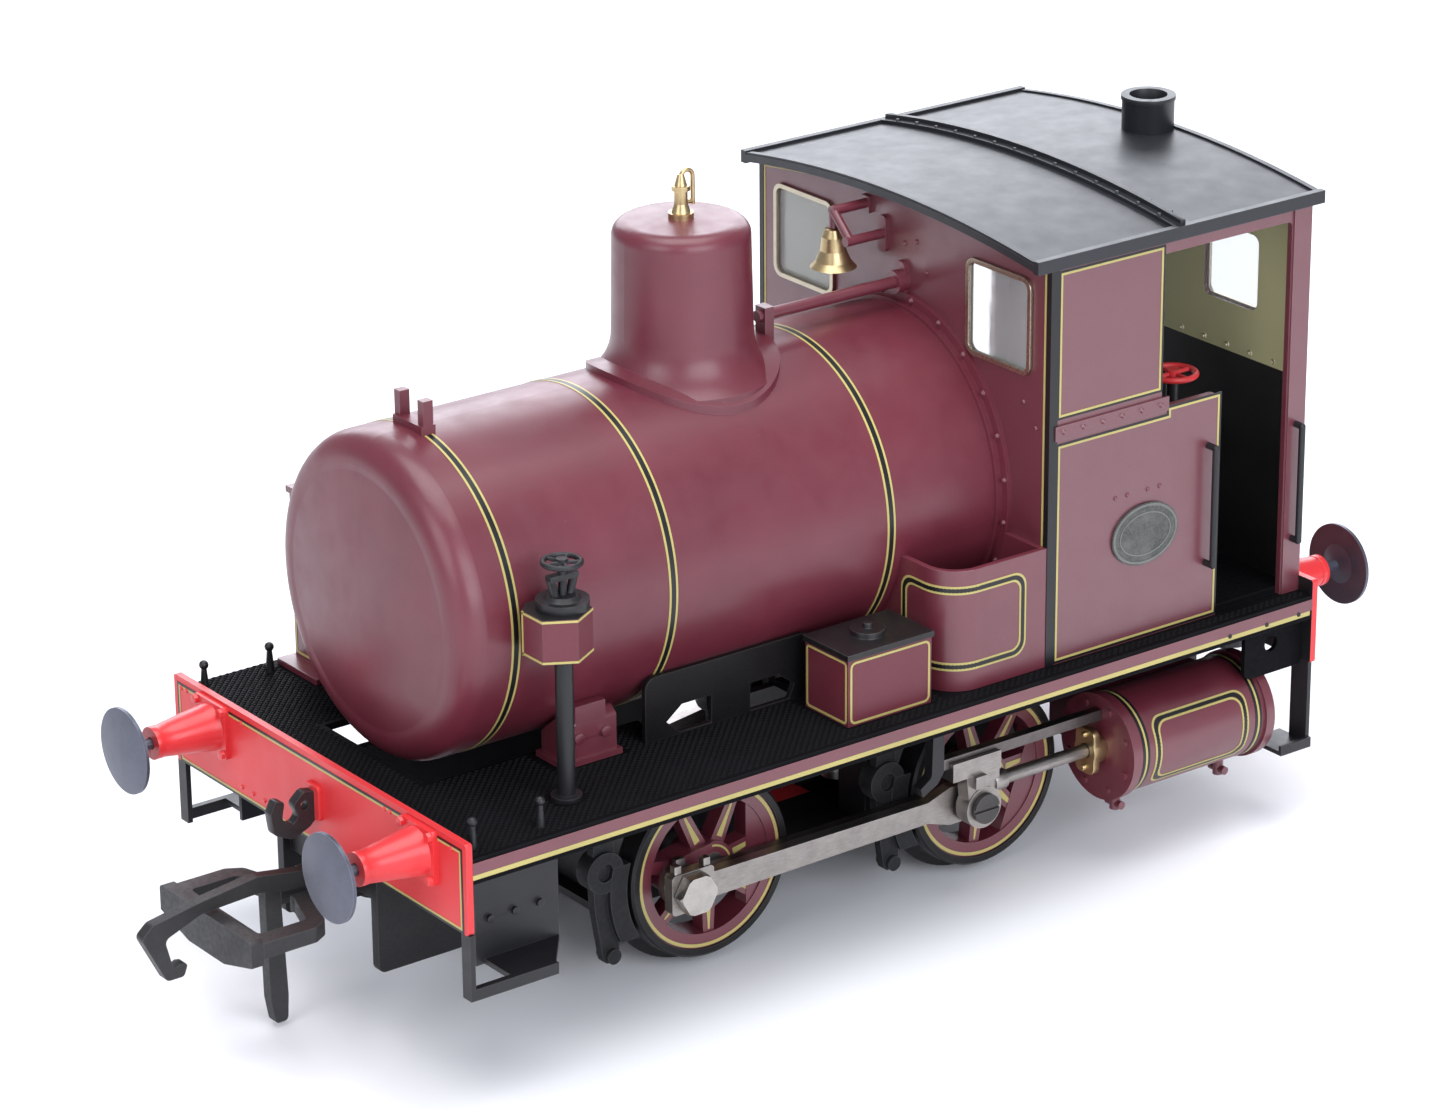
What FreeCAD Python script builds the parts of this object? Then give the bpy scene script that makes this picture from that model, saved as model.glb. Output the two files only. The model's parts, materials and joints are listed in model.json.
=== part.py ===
"""Four-wheeled industrial locomotive model, 4 mm to the foot: reservoir, cab, outside cylinders and running gear.

Axes: +X towards the reservoir end, +Y the locomotive's left, +Z up. The flange bottoms stand on z = 0.
"""

import FreeCAD
import Part
import math
import os

# ---------------------------------------------------------------- driving dimensions (mm)
# wheels and axles
AXLE_X = 11.0
AXLE_Z = 6.7
AXLE_R = 1.0
TREAD_R = 6.0
FLANGE_R = 6.7
TYRE_BORE_R = 5.45
RIM_BORE_R = 4.5
WHEEL_BACK_Y = 7.2
FLANGE_FACE_Y = 7.9
WHEEL_FACE_Y = 9.6
SPOKES = 7
SPOKE_PHASE_FRONT = 13.0
SPOKE_PHASE_REAR = 21.0
HUB_R = 1.7
THROW = 3.0
CRANKPIN_R = 0.6
RUNNING_FIT = 0.05

# drive
GEAR_TEETH = 22
GEAR_MODULE = 0.25
GEAR_HALF_WIDTH = 1.0
WORM_PITCH_R = 1.5
WORM_SHAFT_R = 0.75
WORM_X = -AXLE_X + GEAR_TEETH * GEAR_MODULE / 2 + WORM_PITCH_R + 0.3
WORM_BOTTOM_Z = 4.9
WORM_TOP_Z = 9.3
MOTOR_R = 5.0
MOTOR_BOTTOM_Z = 18.2
MOTOR_TOP_Z = 32.0

# rods and crossheads: each lies in its own slab of y
COUPLING_ROD_Y = (9.95, 10.65)
CONNECTING_ROD_Y = (10.9, 11.7)
CROSSHEAD_Y = (12.0, 13.05)
CYLINDER_Y = 12.5
PISTON_Z = 8.0
PISTON_ROD_R = 0.45
GUDGEON_R = 0.7
CONNECTING_ROD_LENGTH = 22.0
GUDGEON_X = AXLE_X + THROW - CONNECTING_ROD_LENGTH
SLIDE_BAR_Z = (9.95, 10.7)
SLIDE_BAR_FRONT_X = -4.9

# brake gear
HANGER_AHEAD = 7.8
HANGER_EYE_Z = 8.4
HANGER_TOP_Z = 13.2
HANGER_FOOT_Z = 2.6
SHOE_Y = (8.0, 9.5)

# cylinders
CYLINDER_R = 3.4
CYLINDER_COVER_R = 3.6
CYLINDER_FRONT_X = -18.0
CYLINDER_REAR_X = -30.2

# footplate and beams
FOOTPLATE_HALF = 16.2
FOOTPLATE_TOP = 15.93
FOOTPLATE_THICK = 0.5
VALANCE_BOTTOM = 14.3
VALANCE_THICK = 0.4
BEAM_FACE_X = 33.5
BEAM_THICK = 0.45
BEAM_BOTTOM = 11.13
BEAM_TOP = 16.96
WELL_HALF = 5.6
WELL_FRONT_X = 29.2

# steps and stanchions
FRONT_STEP_BOTTOM = 7.3
FRONT_STEP_X = (25.0, 31.0)
REAR_STEP_BOTTOM = 5.1
REAR_STEP_X = (-33.4, -30.75)
STEP_OUTER_Y = 16.3
STANCHION_X = (32.1, 27.3)
STANCHION_Y = 14.85
STANCHION_TOP = 17.6

# frames
FRAME_INNER_Y = 4.9
FRAME_OUTER_Y = 5.6
FRAME_BOTTOM = 3.6
FRAME_END_X = 32.95
KEEPER_BOTTOM = 3.1
PICKUP_X = 6.06

# reservoir
TANK_R = 10.29
TANK_WALL = 0.9
TANK_Z = 26.0
TANK_FRONT_X = 29.4
TANK_RIM_R = 1.8
DISH_R = 60.0
DISH_DEPTH = 0.55
DISH_EDGE_R = 8.3
RING_R = TANK_R + 0.9
DOME_X = 5.7
DOME_R = 4.3
DOME_TOP = 45.35
LAMP_BRACKET_X = 25.6
REGULATOR_ROD_Y = 0.3
REGULATOR_ROD_Z = 37.85
BELL_X = -8.7
BELL_Y = -3.3
BELL_TOP = 41.0

# cab
CAB_FRONT_X = -11.55
CAB_REAR_X = -33.1
CAB_HALF = 14.7
SHEET = 0.4
PILLAR_STRIP = 0.12
SHEET_TOP = 42.2
SHEET_CROWN = 43.36
ROOF_FRONT_X = -10.2
ROOF_REAR_X = -34.0
ROOF_HALF = 15.0
ROOF_EAVE = 42.75
ROOF_CROWN = 43.95
ROOF_THICK = 0.5
ROOF_RIB_X = -22.2
FLOOR_TOP = 16.35
FRONT_WINDOW = (6.9, 12.8, 35.0, 41.0)
REAR_WINDOW = (5.3, 10.4, 33.9, 39.0)
WINDOW_CORNER = 0.6
ENTRY_FRONT_X = -25.9
ENTRY_REAR_X = -31.5
PANEL_REAR_X = -20.8
SIDE_RAIL_Z = (31.0, 31.95)
HANDRAIL_Y = 15.45
HANDRAIL_R = 0.22
OVAL_PLATE_X = -19.55
OVAL_PLATE_Z = 23.1
HAND_BRAKE_X = -25.2
HAND_BRAKE_Y = 10.8
HAND_BRAKE_WHEEL_Z = 31.5

# boxes on the footplate: (rear, front, inner, outer) in plan, then the top
SANDBOX = (-2.4, 4.15, 10.3, 14.6)
SANDBOX_TOP = 20.35
LID_OVERHANG = 0.12
BUNKER_FRONT_X = -3.6
BUNKER_INNER_Y = 7.0
BUNKER_TOP = 24.0
BUNKER_WALL = 0.4
LOCKER = (13.9, 25.1, 11.2, 15.3)
LOCKER_TOP = 27.5
CASTING_X = (17.5, 21.3)

# charging valve on its column
COLUMN_X = 23.7
COLUMN_Y = 12.4
VALVE_BOX_BOTTOM = 25.35
VALVE_BOX_TOP = 28.15
VALVE_BOX_R = 2.1
VALVE_BOX_BACK_Y = 10.45
VALVE_WHEEL_Z = 31.0

# buffers and couplings
BUFFER_Y = 11.5
BUFFER_Z = 15.03
BUFFER_HEAD_R = 2.75
BUFFER_HEAD_X = 40.0
BUFFER_HEAD_THICK = 0.22
BUFFER_FACE_RISE = 0.27
BUFFER_FACE_R = 14.0
BUFFER_SHANK_R = 0.35
COUPLING_PIVOT_X = 29.5
COUPLING_BAR_X = 41.6
COUPLING_BAR_HALF = 5.2
COUPLING_Z = (7.6, 8.6)
HOOK_PIVOT = (34.0, 9.1)


# ---------------------------------------------------------------- shape helpers
def vec(x, y, z):
    return FreeCAD.Vector(x, y, z)


def box(x0, x1, y0, y1, z0, z1):
    low = vec(min(x0, x1), min(y0, y1), min(z0, z1))
    return Part.makeBox(abs(x1 - x0), abs(y1 - y0), abs(z1 - z0), low)


def rod(start, end, radius):
    """Round bar between two points."""
    a = vec(*start)
    b = vec(*end)
    return Part.makeCylinder(radius, a.distanceToPoint(b), a, b.sub(a))


def taper(start, end, r0, r1):
    a = vec(*start)
    b = vec(*end)
    return Part.makeCone(r0, r1, a.distanceToPoint(b), a, b.sub(a))


def ball(centre, radius):
    return Part.makeSphere(radius, vec(*centre))


def fuse(shapes):
    joined = shapes[0].multiFuse(shapes[1:]) if len(shapes) > 1 else shapes[0]
    return joined.removeSplitter()


def mirrored(shape):
    """The same piece on the other side of the locomotive."""
    return shape.mirror(vec(0, 0, 0), vec(0, 1, 0))


def swapped_ends(shape):
    """The same piece at the other end of the locomotive."""
    return shape.rotated(vec(0, 0, 0), vec(0, 0, 1), 180)


def both_sides(shape):
    return [shape, mirrored(shape)]


def corner_points(before, here, after):
    """Start, middle and end of the arc that rounds one corner of an outline."""
    radius = here[2] if len(here) > 2 else 0.0
    if radius == 0.0:
        return [(here[0], here[1])]
    ax, ay = before[0] - here[0], before[1] - here[1]
    bx, by = after[0] - here[0], after[1] - here[1]
    la, lb = math.hypot(ax, ay), math.hypot(bx, by)
    ax, ay, bx, by = ax / la, ay / la, bx / lb, by / lb
    half = math.acos(ax * bx + ay * by) / 2
    tangent = radius / math.tan(half)
    mx, my = ax + bx, ay + by
    lm = math.hypot(mx, my)
    reach = radius / math.sin(half) - radius
    return [
        (here[0] + ax * tangent, here[1] + ay * tangent),
        (here[0] + mx / lm * reach, here[1] + my / lm * reach),
        (here[0] + bx * tangent, here[1] + by * tangent),
    ]


def outline_face(corners, place):
    """Flat face from corners (u, v) or (u, v, rounding radius)."""
    runs = []
    for i in range(len(corners)):
        runs.append(corner_points(corners[i - 1], corners[i], corners[(i + 1) % len(corners)]))
    edges = []
    for i, run in enumerate(runs):
        if len(run) == 3:
            edges.append(Part.Arc(place(*run[0]), place(*run[1]), place(*run[2])).toShape())
        nxt = runs[(i + 1) % len(runs)]
        if math.dist(run[-1], nxt[0]) > 1e-6:
            edges.append(Part.makeLine(place(*run[-1]), place(*nxt[0])))
    return Part.Face(Part.Wire(edges))


def plate_xz(corners, y0, y1):
    """Upright plate along the locomotive."""
    return outline_face(corners, lambda u, v: vec(u, y0, v)).extrude(vec(0, y1 - y0, 0))


def plate_yz(corners, x0, x1):
    """Upright plate across the locomotive."""
    return outline_face(corners, lambda u, v: vec(x0, u, v)).extrude(vec(x1 - x0, 0, 0))


def plate_xy(corners, z0, z1):
    """Flat plate."""
    return outline_face(corners, lambda u, v: vec(u, v, z0)).extrude(vec(0, 0, z1 - z0))


def rectangle(u0, u1, v0, v1, radius):
    return [(u0, v0, radius), (u1, v0, radius), (u1, v1, radius), (u0, v1, radius)]


def hexagon_x(centre, size, x0, x1):
    """Hexagonal nut or bolt head facing along X."""
    points = []
    for k in range(6):
        a = math.radians(60 * k + 30)
        points.append((centre[0] + size * math.cos(a), centre[1] + size * math.sin(a)))
    return plate_yz(points, x0, x1)


def hexagon_y(centre, size, y0, y1):
    """Hexagonal nut facing along Y."""
    points = []
    for k in range(6):
        a = math.radians(60 * k)
        points.append((centre[0] + size * math.cos(a), centre[1] + size * math.sin(a)))
    return plate_xz(points, y0, y1)


def tank_solid(extra):
    """Solid cylinder over the reservoir, grown by extra, to trim what stands against it."""
    return rod((CAB_FRONT_X - 1.0, 0, TANK_Z), (TANK_FRONT_X, 0, TANK_Z), TANK_R + extra)


# ---------------------------------------------------------------- frames and footplate
def frame_plate():
    """Left main frame: deep round the axles, cut away between and above them."""
    top = FOOTPLATE_TOP - FOOTPLATE_THICK
    outline = [
        (-FRAME_END_X, top), (6.6, top), (6.6, 14.0, 0.4), (13.0, 14.0, 0.4), (13.0, top),
        (24.0, top), (24.0, 14.0, 0.4), (30.5, 14.0, 0.4), (30.5, top), (FRAME_END_X, top),
        (FRAME_END_X, 4.4, 0.5), (26.4, 4.4, 0.5), (26.4, 9.0, 0.6), (17.6, 9.0, 0.6), (16.2, FRAME_BOTTOM),
        (6.0, FRAME_BOTTOM), (4.2, 12.3, 0.6), (-4.2, 12.3, 0.6), (-5.6, FRAME_BOTTOM),
        (-16.2, FRAME_BOTTOM), (-17.6, 9.0, 0.6), (-FRAME_END_X, 9.0, 0.6),
    ]
    plate = plate_xz(outline, FRAME_INNER_Y, FRAME_OUTER_Y)
    for x in (AXLE_X, -AXLE_X):
        plate = plate.cut(rod((x, 0, AXLE_Z), (x, 8, AXLE_Z), AXLE_R + RUNNING_FIT))
    return plate


def frame_blocks():
    """Cast weights between the frames that carry the axles, split at the rear for the gears."""
    bore_front = rod((AXLE_X, -6, AXLE_Z), (AXLE_X, 6, AXLE_Z), AXLE_R + RUNNING_FIT)
    bore_rear = rod((-AXLE_X, -6, AXLE_Z), (-AXLE_X, 6, AXLE_Z), AXLE_R + RUNNING_FIT)
    front = box(7.0, 15.2, -FRAME_INNER_Y, FRAME_INNER_Y, FRAME_BOTTOM, 9.3).cut(bore_front)
    cheek = box(-16.0, -4.9, 2.1, FRAME_INNER_Y, FRAME_BOTTOM, 12.0).cut(bore_rear)
    tail = box(-26.0, -19.0, -FRAME_INNER_Y, FRAME_INNER_Y, 9.0, 15.4)
    return [front, cheek, mirrored(cheek), tail]


def coupling_stretcher():
    """Block between the frames at the front end, with the pin a coupling swings on."""
    block = box(26.6, 32.4, -FRAME_INNER_Y, FRAME_INNER_Y, COUPLING_Z[1] + 0.1, 13.4)
    pin = rod((COUPLING_PIVOT_X, 0, 7.3), (COUPLING_PIVOT_X, 0, 9.0), 0.7)
    head = rod((COUPLING_PIVOT_X, 0, 6.9), (COUPLING_PIVOT_X, 0, 7.5), 1.2)
    return fuse([block, pin, head])


def saddle_plate():
    """Left cradle plate that carries the reservoir, pierced under it."""
    plate = plate_xz([(2.6, 15.93), (15.4, 15.93), (15.4, 20.2, 0.8), (2.6, 20.2, 0.8)], 8.6, 9.0)
    hole = plate_xz([(10.4, 16.1), (12.8, 16.1), (13.8, 17.0), (12.6, 17.9), (10.4, 17.9)], 8, 10)
    hole_rear = plate_xz([(4.4, 16.1), (7.4, 16.1), (7.4, 17.9), (5.2, 17.9), (4.0, 17.0)], 8, 10)
    return plate.cut(hole).cut(hole_rear)


def main_frames():
    stretcher = coupling_stretcher()
    solids = both_sides(frame_plate()) + frame_blocks() + both_sides(saddle_plate())
    return solids + [stretcher, swapped_ends(stretcher)]


def keeper_plate():
    """Plate that closes the frames under the axles, with a wiping pickup for each wheel."""
    plate = plate_xy(rectangle(-16.2, 16.2, -FRAME_INNER_Y, FRAME_INNER_Y, 1.0), KEEPER_BOTTOM, FRAME_BOTTOM)
    strips = []
    for x in (PICKUP_X, -PICKUP_X):
        z = KEEPER_BOTTOM + 0.1
        leaf = box(x - 0.3, x + 0.3, FRAME_INNER_Y, 7.12, z, z + 0.2)
        tip = box(x - 0.3, x + 0.3, 7.0, 7.12, z, z + 0.8)
        strips += both_sides(fuse([leaf, tip]))
    return [plate] + strips


def brake_hanger(wheel_x):
    """Left brake hanger and block ahead of one wheel."""
    y0, y1 = SHOE_Y
    eye_x, eye_z = wheel_x + HANGER_AHEAD, HANGER_EYE_Z
    arc_outer = rod((wheel_x, y0 + 0.05, AXLE_Z), (wheel_x, y1 - 0.1, AXLE_Z), TREAD_R + 1.5)
    arc_inner = rod((wheel_x, y0, AXLE_Z), (wheel_x, y1, AXLE_Z), TREAD_R + 0.25)
    reach = box(wheel_x + 5.4, wheel_x + 8.0, y0, y1, AXLE_Z - 3.3, AXLE_Z + 1.9)
    shoe = arc_outer.cut(arc_inner).common(reach)
    arm = plate_xz(
        [(eye_x - 0.5, HANGER_TOP_Z), (eye_x + 0.4, HANGER_TOP_Z), (eye_x + 0.8, eye_z, 0.4),
         (eye_x + 0.6, 5.6, 0.8), (eye_x, 2.1, 0.4), (eye_x - 1.1, 2.1, 0.3), (eye_x - 1.2, 6.7, 0.6)],
        y0 + 0.4, y0 + 1.05)
    eye = rod((eye_x, y0 + 0.1, eye_z), (eye_x, y1 - 0.15, eye_z), 1.35)
    eye = eye.cut(rod((eye_x, y1 - 0.6, eye_z), (eye_x, y1, eye_z), 0.6))
    stud_z = HANGER_TOP_Z - 0.6
    stud = rod((eye_x, FRAME_OUTER_Y, stud_z), (eye_x, y0 + 0.45, stud_z), 0.45)
    foot_x = eye_x - 0.55
    foot = rod((foot_x, y0 + 0.1, HANGER_FOOT_Z), (foot_x, y1 - 0.1, HANGER_FOOT_Z), 0.5)
    return fuse([shoe, arm, eye, stud, foot])


def brake_gear():
    return both_sides(brake_hanger(AXLE_X)) + both_sides(brake_hanger(-AXLE_X))


def footplate():
    """Chequered running plate with its valances, open under the reservoir."""
    bottom = FOOTPLATE_TOP - FOOTPLATE_THICK
    end = BEAM_FACE_X - BEAM_THICK
    deck = box(-end, end, -FOOTPLATE_HALF, FOOTPLATE_HALF, bottom, FOOTPLATE_TOP)
    well = plate_xy(
        [(CAB_FRONT_X, -WELL_HALF), (WELL_FRONT_X, -WELL_HALF), (WELL_FRONT_X, WELL_HALF),
         (13.6, WELL_HALF), (13.6, 8.4), (3.0, 8.4), (3.0, WELL_HALF), (CAB_FRONT_X, WELL_HALF)],
        bottom - 1, FOOTPLATE_TOP + 1)
    deck = deck.cut(well)
    parts = [deck]
    for side in (1, -1):
        y0 = side * (FOOTPLATE_HALF - VALANCE_THICK)
        parts.append(box(-end, end, y0, side * FOOTPLATE_HALF, VALANCE_BOTTOM, bottom + 0.1))
        parts.append(rear_drag_plate(side, bottom))
    return [fuse(parts)]


def rear_drag_plate(side, top):
    """Pierced plate under the footplate beside the rear beam."""
    plate = plate_xz(
        [(-32.95, 10.9, 0.3), (-28.0, 10.9, 0.6), (-28.0, top + 0.1), (-32.95, top + 0.1)],
        side * 15.0, side * 15.4)
    return plate.cut(rod((-30.3, side * 14, 13.0), (-30.3, side * 17, 13.0), 0.55))


def front_beam():
    """Front beam, bored for the buffer shanks."""
    plate = plate_yz(rectangle(-FOOTPLATE_HALF, FOOTPLATE_HALF, BEAM_BOTTOM, BEAM_TOP, 0.2),
                     BEAM_FACE_X - BEAM_THICK, BEAM_FACE_X)
    for side in (1, -1):
        y = side * BUFFER_Y
        plate = plate.cut(rod((32, y, BUFFER_Z), (35, y, BUFFER_Z), BUFFER_SHANK_R + RUNNING_FIT))
    return plate


def buffer_beams():
    beam = front_beam()
    rear_half = CAB_HALF + PILLAR_STRIP
    rebate = box(CAB_REAR_X, CAB_REAR_X + 1, -rear_half, rear_half, FOOTPLATE_TOP, BEAM_TOP + 1)
    return [beam, swapped_ends(beam).cut(rebate)]


def buffer_housing(y):
    """Conical housing on a bolted base, front end."""
    base = plate_yz(rectangle(y - 1.8, y + 1.8, BUFFER_Z - 1.75, BUFFER_Z + 1.75, 0.3),
                    BEAM_FACE_X, BEAM_FACE_X + 0.35)
    cone = taper((BEAM_FACE_X, y, BUFFER_Z), (38.0, y, BUFFER_Z), 1.6, 0.95)
    collar = rod((37.6, y, BUFFER_Z), (38.1, y, BUFFER_Z), 1.05)
    parts = [base, cone, collar]
    for dy in (-1.45, 1.45):
        for dz in (-1.4, 1.4):
            parts.append(hexagon_x((y + dy, BUFFER_Z + dz), 0.3, BEAM_FACE_X + 0.3, BEAM_FACE_X + 0.6))
    body = fuse(parts)
    return body.cut(rod((BEAM_FACE_X - 1, y, BUFFER_Z), (39, y, BUFFER_Z), BUFFER_SHANK_R + RUNNING_FIT))


def buffer_housings():
    front = [buffer_housing(BUFFER_Y), buffer_housing(-BUFFER_Y)]
    return front + [swapped_ends(s) for s in front]


def buffer_plunger(y):
    """Sprung head and shank, front end."""
    back = BUFFER_HEAD_X - BUFFER_HEAD_THICK
    shank = rod((31.4, y, BUFFER_Z), (back + 0.1, y, BUFFER_Z), BUFFER_SHANK_R)
    neck = taper((back - 0.3, y, BUFFER_Z), (back + 0.05, y, BUFFER_Z), BUFFER_SHANK_R, 1.5)
    head = rod((back, y, BUFFER_Z), (BUFFER_HEAD_X, y, BUFFER_Z), BUFFER_HEAD_R)
    face = ball((BUFFER_HEAD_X + BUFFER_FACE_RISE - BUFFER_FACE_R, y, BUFFER_Z), BUFFER_FACE_R)
    slab = rod((back, y, BUFFER_Z), (BUFFER_HEAD_X + 0.5, y, BUFFER_Z), BUFFER_HEAD_R - 0.02)
    return fuse([shank, neck, head, face.common(slab)])


def drawhook():
    hook = plate_xz(
        [(33.5, 13.2), (34.2, 12.6, 0.3), (35.4, 12.1, 0.6), (36.7, 12.7, 0.5), (36.9, 14.1, 0.3),
         (36.5, 14.9, 0.2), (35.9, 14.7, 0.2), (36.1, 13.6, 0.3), (35.4, 13.0, 0.3), (34.9, 13.5, 0.3),
         (35.3, 14.3, 0.4), (34.5, 15.0, 0.4), (33.5, 14.8)],
        -0.35, 0.35)
    eye = rod((34.5, -1, 14.1), (34.5, 1, 14.1), 0.3)
    boss = plate_yz(rectangle(-0.8, 0.8, 12.9, 15.2, 0.3), BEAM_FACE_X, BEAM_FACE_X + 0.3)
    return fuse([hook.cut(eye), boss])


def drawhooks():
    hook = drawhook()
    return [hook, swapped_ends(hook)]


def front_step():
    """Left front step: riveted back plate, short tread, and an outer bar to a leg down from the beam."""
    x0, x1 = FRONT_STEP_X
    bottom = FRONT_STEP_BOTTOM
    top = FOOTPLATE_TOP - FOOTPLATE_THICK
    tread_top = bottom + 0.35
    end = BEAM_FACE_X - 0.05
    back = plate_xz([(x0, bottom), (x1, bottom), (x1, top), (x0, top)], 12.9, 13.2)
    tread = plate_xy([(x0, 12.9), (x1 - 0.6, 12.9), (x1 - 0.6, 16.0), (x0 + 2.2, 16.0), (x0, 13.2)],
                     bottom, tread_top)
    bar = box(x0 + 2.2, end, STEP_OUTER_Y - 0.45, STEP_OUTER_Y, bottom - 0.4, tread_top)
    leg = box(end - 0.35, end, STEP_OUTER_Y - 0.9, STEP_OUTER_Y, bottom - 0.4, BEAM_BOTTOM)
    parts = [back, tread, bar, leg]
    for k in range(3):
        x = x0 + 1.4 + 1.8 * k
        parts.append(rod((x, 13.1, 10.2), (x, 13.45, 10.2), 0.25))
    return fuse(parts)


def rear_step():
    """Left rear step, hung from the rear beam."""
    x0, x1 = REAR_STEP_X
    bottom = REAR_STEP_BOTTOM
    tread = box(x0, x1, 13.2, 16.2, bottom, bottom + 0.3)
    lip = box(x0, x1, 15.95, 16.2, bottom, bottom + 0.7)
    strap = box(x0, x0 + 0.3, 14.4, 16.0, bottom, BEAM_BOTTOM)
    return fuse([tread, lip, strap])


def steps():
    return both_sides(front_step()) + both_sides(rear_step())


def stanchions():
    """Knobbed posts along the front of the footplate."""
    posts = []
    for x in STANCHION_X:
        for y in (STANCHION_Y, -STANCHION_Y):
            post = taper((x, y, FOOTPLATE_TOP), (x, y, STANCHION_TOP - 0.1), 0.3, 0.16)
            posts.append(fuse([post, ball((x, y, STANCHION_TOP), 0.3)]))
    return posts


# ---------------------------------------------------------------- reservoir and what stands on it
def rounded_end_bar(x0, x1, radius, rim):
    """Solid bar along X with a rounded front rim."""
    bar = rod((x0, 0, TANK_Z), (x1, 0, TANK_Z), radius)
    front_edges = [e for e in bar.Edges if e.BoundBox.XLength < 0.01 and abs(e.CenterOfMass.x - x1) < 0.01]
    return bar.makeFillet(rim, front_edges)


def reservoir_shell():
    """Hollow pressure vessel with a dished front end."""
    outer = rounded_end_bar(CAB_FRONT_X, TANK_FRONT_X, TANK_R, TANK_RIM_R)
    dish = ball((TANK_FRONT_X + DISH_DEPTH - DISH_R, 0, TANK_Z), DISH_R)
    dish = dish.common(rod((TANK_FRONT_X - 0.5, 0, TANK_Z), (TANK_FRONT_X + 1, 0, TANK_Z), DISH_EDGE_R))
    inner = rounded_end_bar(CAB_FRONT_X - 1, TANK_FRONT_X - TANK_WALL, TANK_R - TANK_WALL, TANK_RIM_R - TANK_WALL)
    drive_hole = rod((WORM_X, 0, 14), (WORM_X, 0, TANK_Z), 2.2)
    return outer.fuse(dish).cut(inner).cut(drive_hole)


def mounting_ring():
    """Riveted angle ring where the reservoir meets the cab."""
    ring = rod((CAB_FRONT_X, 0, TANK_Z), (CAB_FRONT_X + 0.3, 0, TANK_Z), RING_R)
    lip = rod((CAB_FRONT_X, 0, TANK_Z), (CAB_FRONT_X + 0.7, 0, TANK_Z), TANK_R + 0.3)
    body = ring.fuse(lip)
    parts = [body]
    for k in range(24):
        a = math.radians(15 * k + 7.5)
        y = (RING_R - 0.3) * math.cos(a)
        z = TANK_Z + (RING_R - 0.3) * math.sin(a)
        parts.append(taper((CAB_FRONT_X + 0.25, y, z), (CAB_FRONT_X + 0.48, y, z), 0.22, 0.1))
    whole = fuse(parts).cut(rod((CAB_FRONT_X - 1, 0, TANK_Z), (CAB_FRONT_X + 3, 0, TANK_Z), TANK_R))
    above = box(CAB_FRONT_X - 1, CAB_FRONT_X + 3, -20, 20, FOOTPLATE_TOP, 60)
    return whole.common(above)


def lamp_bracket():
    """Forked bracket on the first band."""
    x = LAMP_BRACKET_X
    foot = box(x - 0.5, x + 0.5, -1.5, 1.6, 35.6, 36.75)
    prongs = [box(x - 0.35, x + 0.35, -1.5, -0.9, 36.6, 38.3), box(x - 0.35, x + 0.35, 1.0, 1.6, 36.6, 38.3)]
    return fuse([foot] + prongs).cut(tank_solid(0))


def dome():
    """Tall dome with a flared foot that follows the reservoir."""
    place = lambda u, v: vec(DOME_X + u, 0, v)
    top = DOME_TOP
    edges = [
        Part.makeLine(place(0, 30), place(0, top)),
        Part.makeLine(place(0, top), place(1.2, top)),
        Part.makeLine(place(1.2, top), place(DOME_R - 0.9, top - 0.08)),
        Part.Arc(place(DOME_R - 0.9, top - 0.08), place(DOME_R - 0.25, top - 0.38),
                 place(DOME_R, top - 1.0)).toShape(),
        Part.makeLine(place(DOME_R, top - 1.0), place(DOME_R + 0.12, 38.2)),
        Part.Arc(place(DOME_R + 0.12, 38.2), place(DOME_R + 0.75, 36.2), place(DOME_R + 2.0, 35.1)).toShape(),
        Part.makeLine(place(DOME_R + 2.0, 35.1), place(DOME_R + 2.0, 30)),
        Part.makeLine(place(DOME_R + 2.0, 30), place(0, 30)),
    ]
    body = Part.Face(Part.Wire(edges)).revolve(vec(DOME_X, 0, 0), vec(0, 0, 1), 360)
    if body.Volume < 0:
        body = body.reversed()
    foot = rod((DOME_X, 0, 30), (DOME_X, 0, 37.5), DOME_R + 1.7).common(tank_solid(0.45))
    barrel = rod((DOME_X, 0, 30), (DOME_X, 0, DOME_TOP), DOME_R + 1.45)
    return body.common(barrel).fuse(foot).cut(tank_solid(0)).removeSplitter()


def safety_valve():
    """Brass valve with a bent discharge pipe."""
    x = DOME_X
    z = DOME_TOP
    parts = [
        rod((x, 0, z), (x, 0, z + 0.35), 0.8),
        taper((x, 0, z + 0.35), (x, 0, z + 0.9), 0.6, 0.42),
        rod((x, 0, z + 0.8), (x, 0, z + 2.0), 0.42),
        rod((x, 0, z + 1.75), (x, 0, z + 2.05), 0.58),
        taper((x, 0, z + 2.05), (x, 0, z + 2.75), 0.4, 0.2),
    ]
    bend = Part.makeTorus(0.45, 0.14, vec(x - 0.45, 0, z + 2.5), vec(0, 1, 0))
    above = box(x - 1.2, x + 0.3, -0.5, 0.5, z + 2.5, z + 3.4)
    parts.append(bend.common(above))
    parts.append(rod((x - 0.9, 0, z + 0.7), (x - 0.9, 0, z + 2.5), 0.14))
    parts.append(rod((x - 0.9, 0, z + 0.9), (x, 0, z + 0.9), 0.14))
    return fuse(parts)


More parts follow.
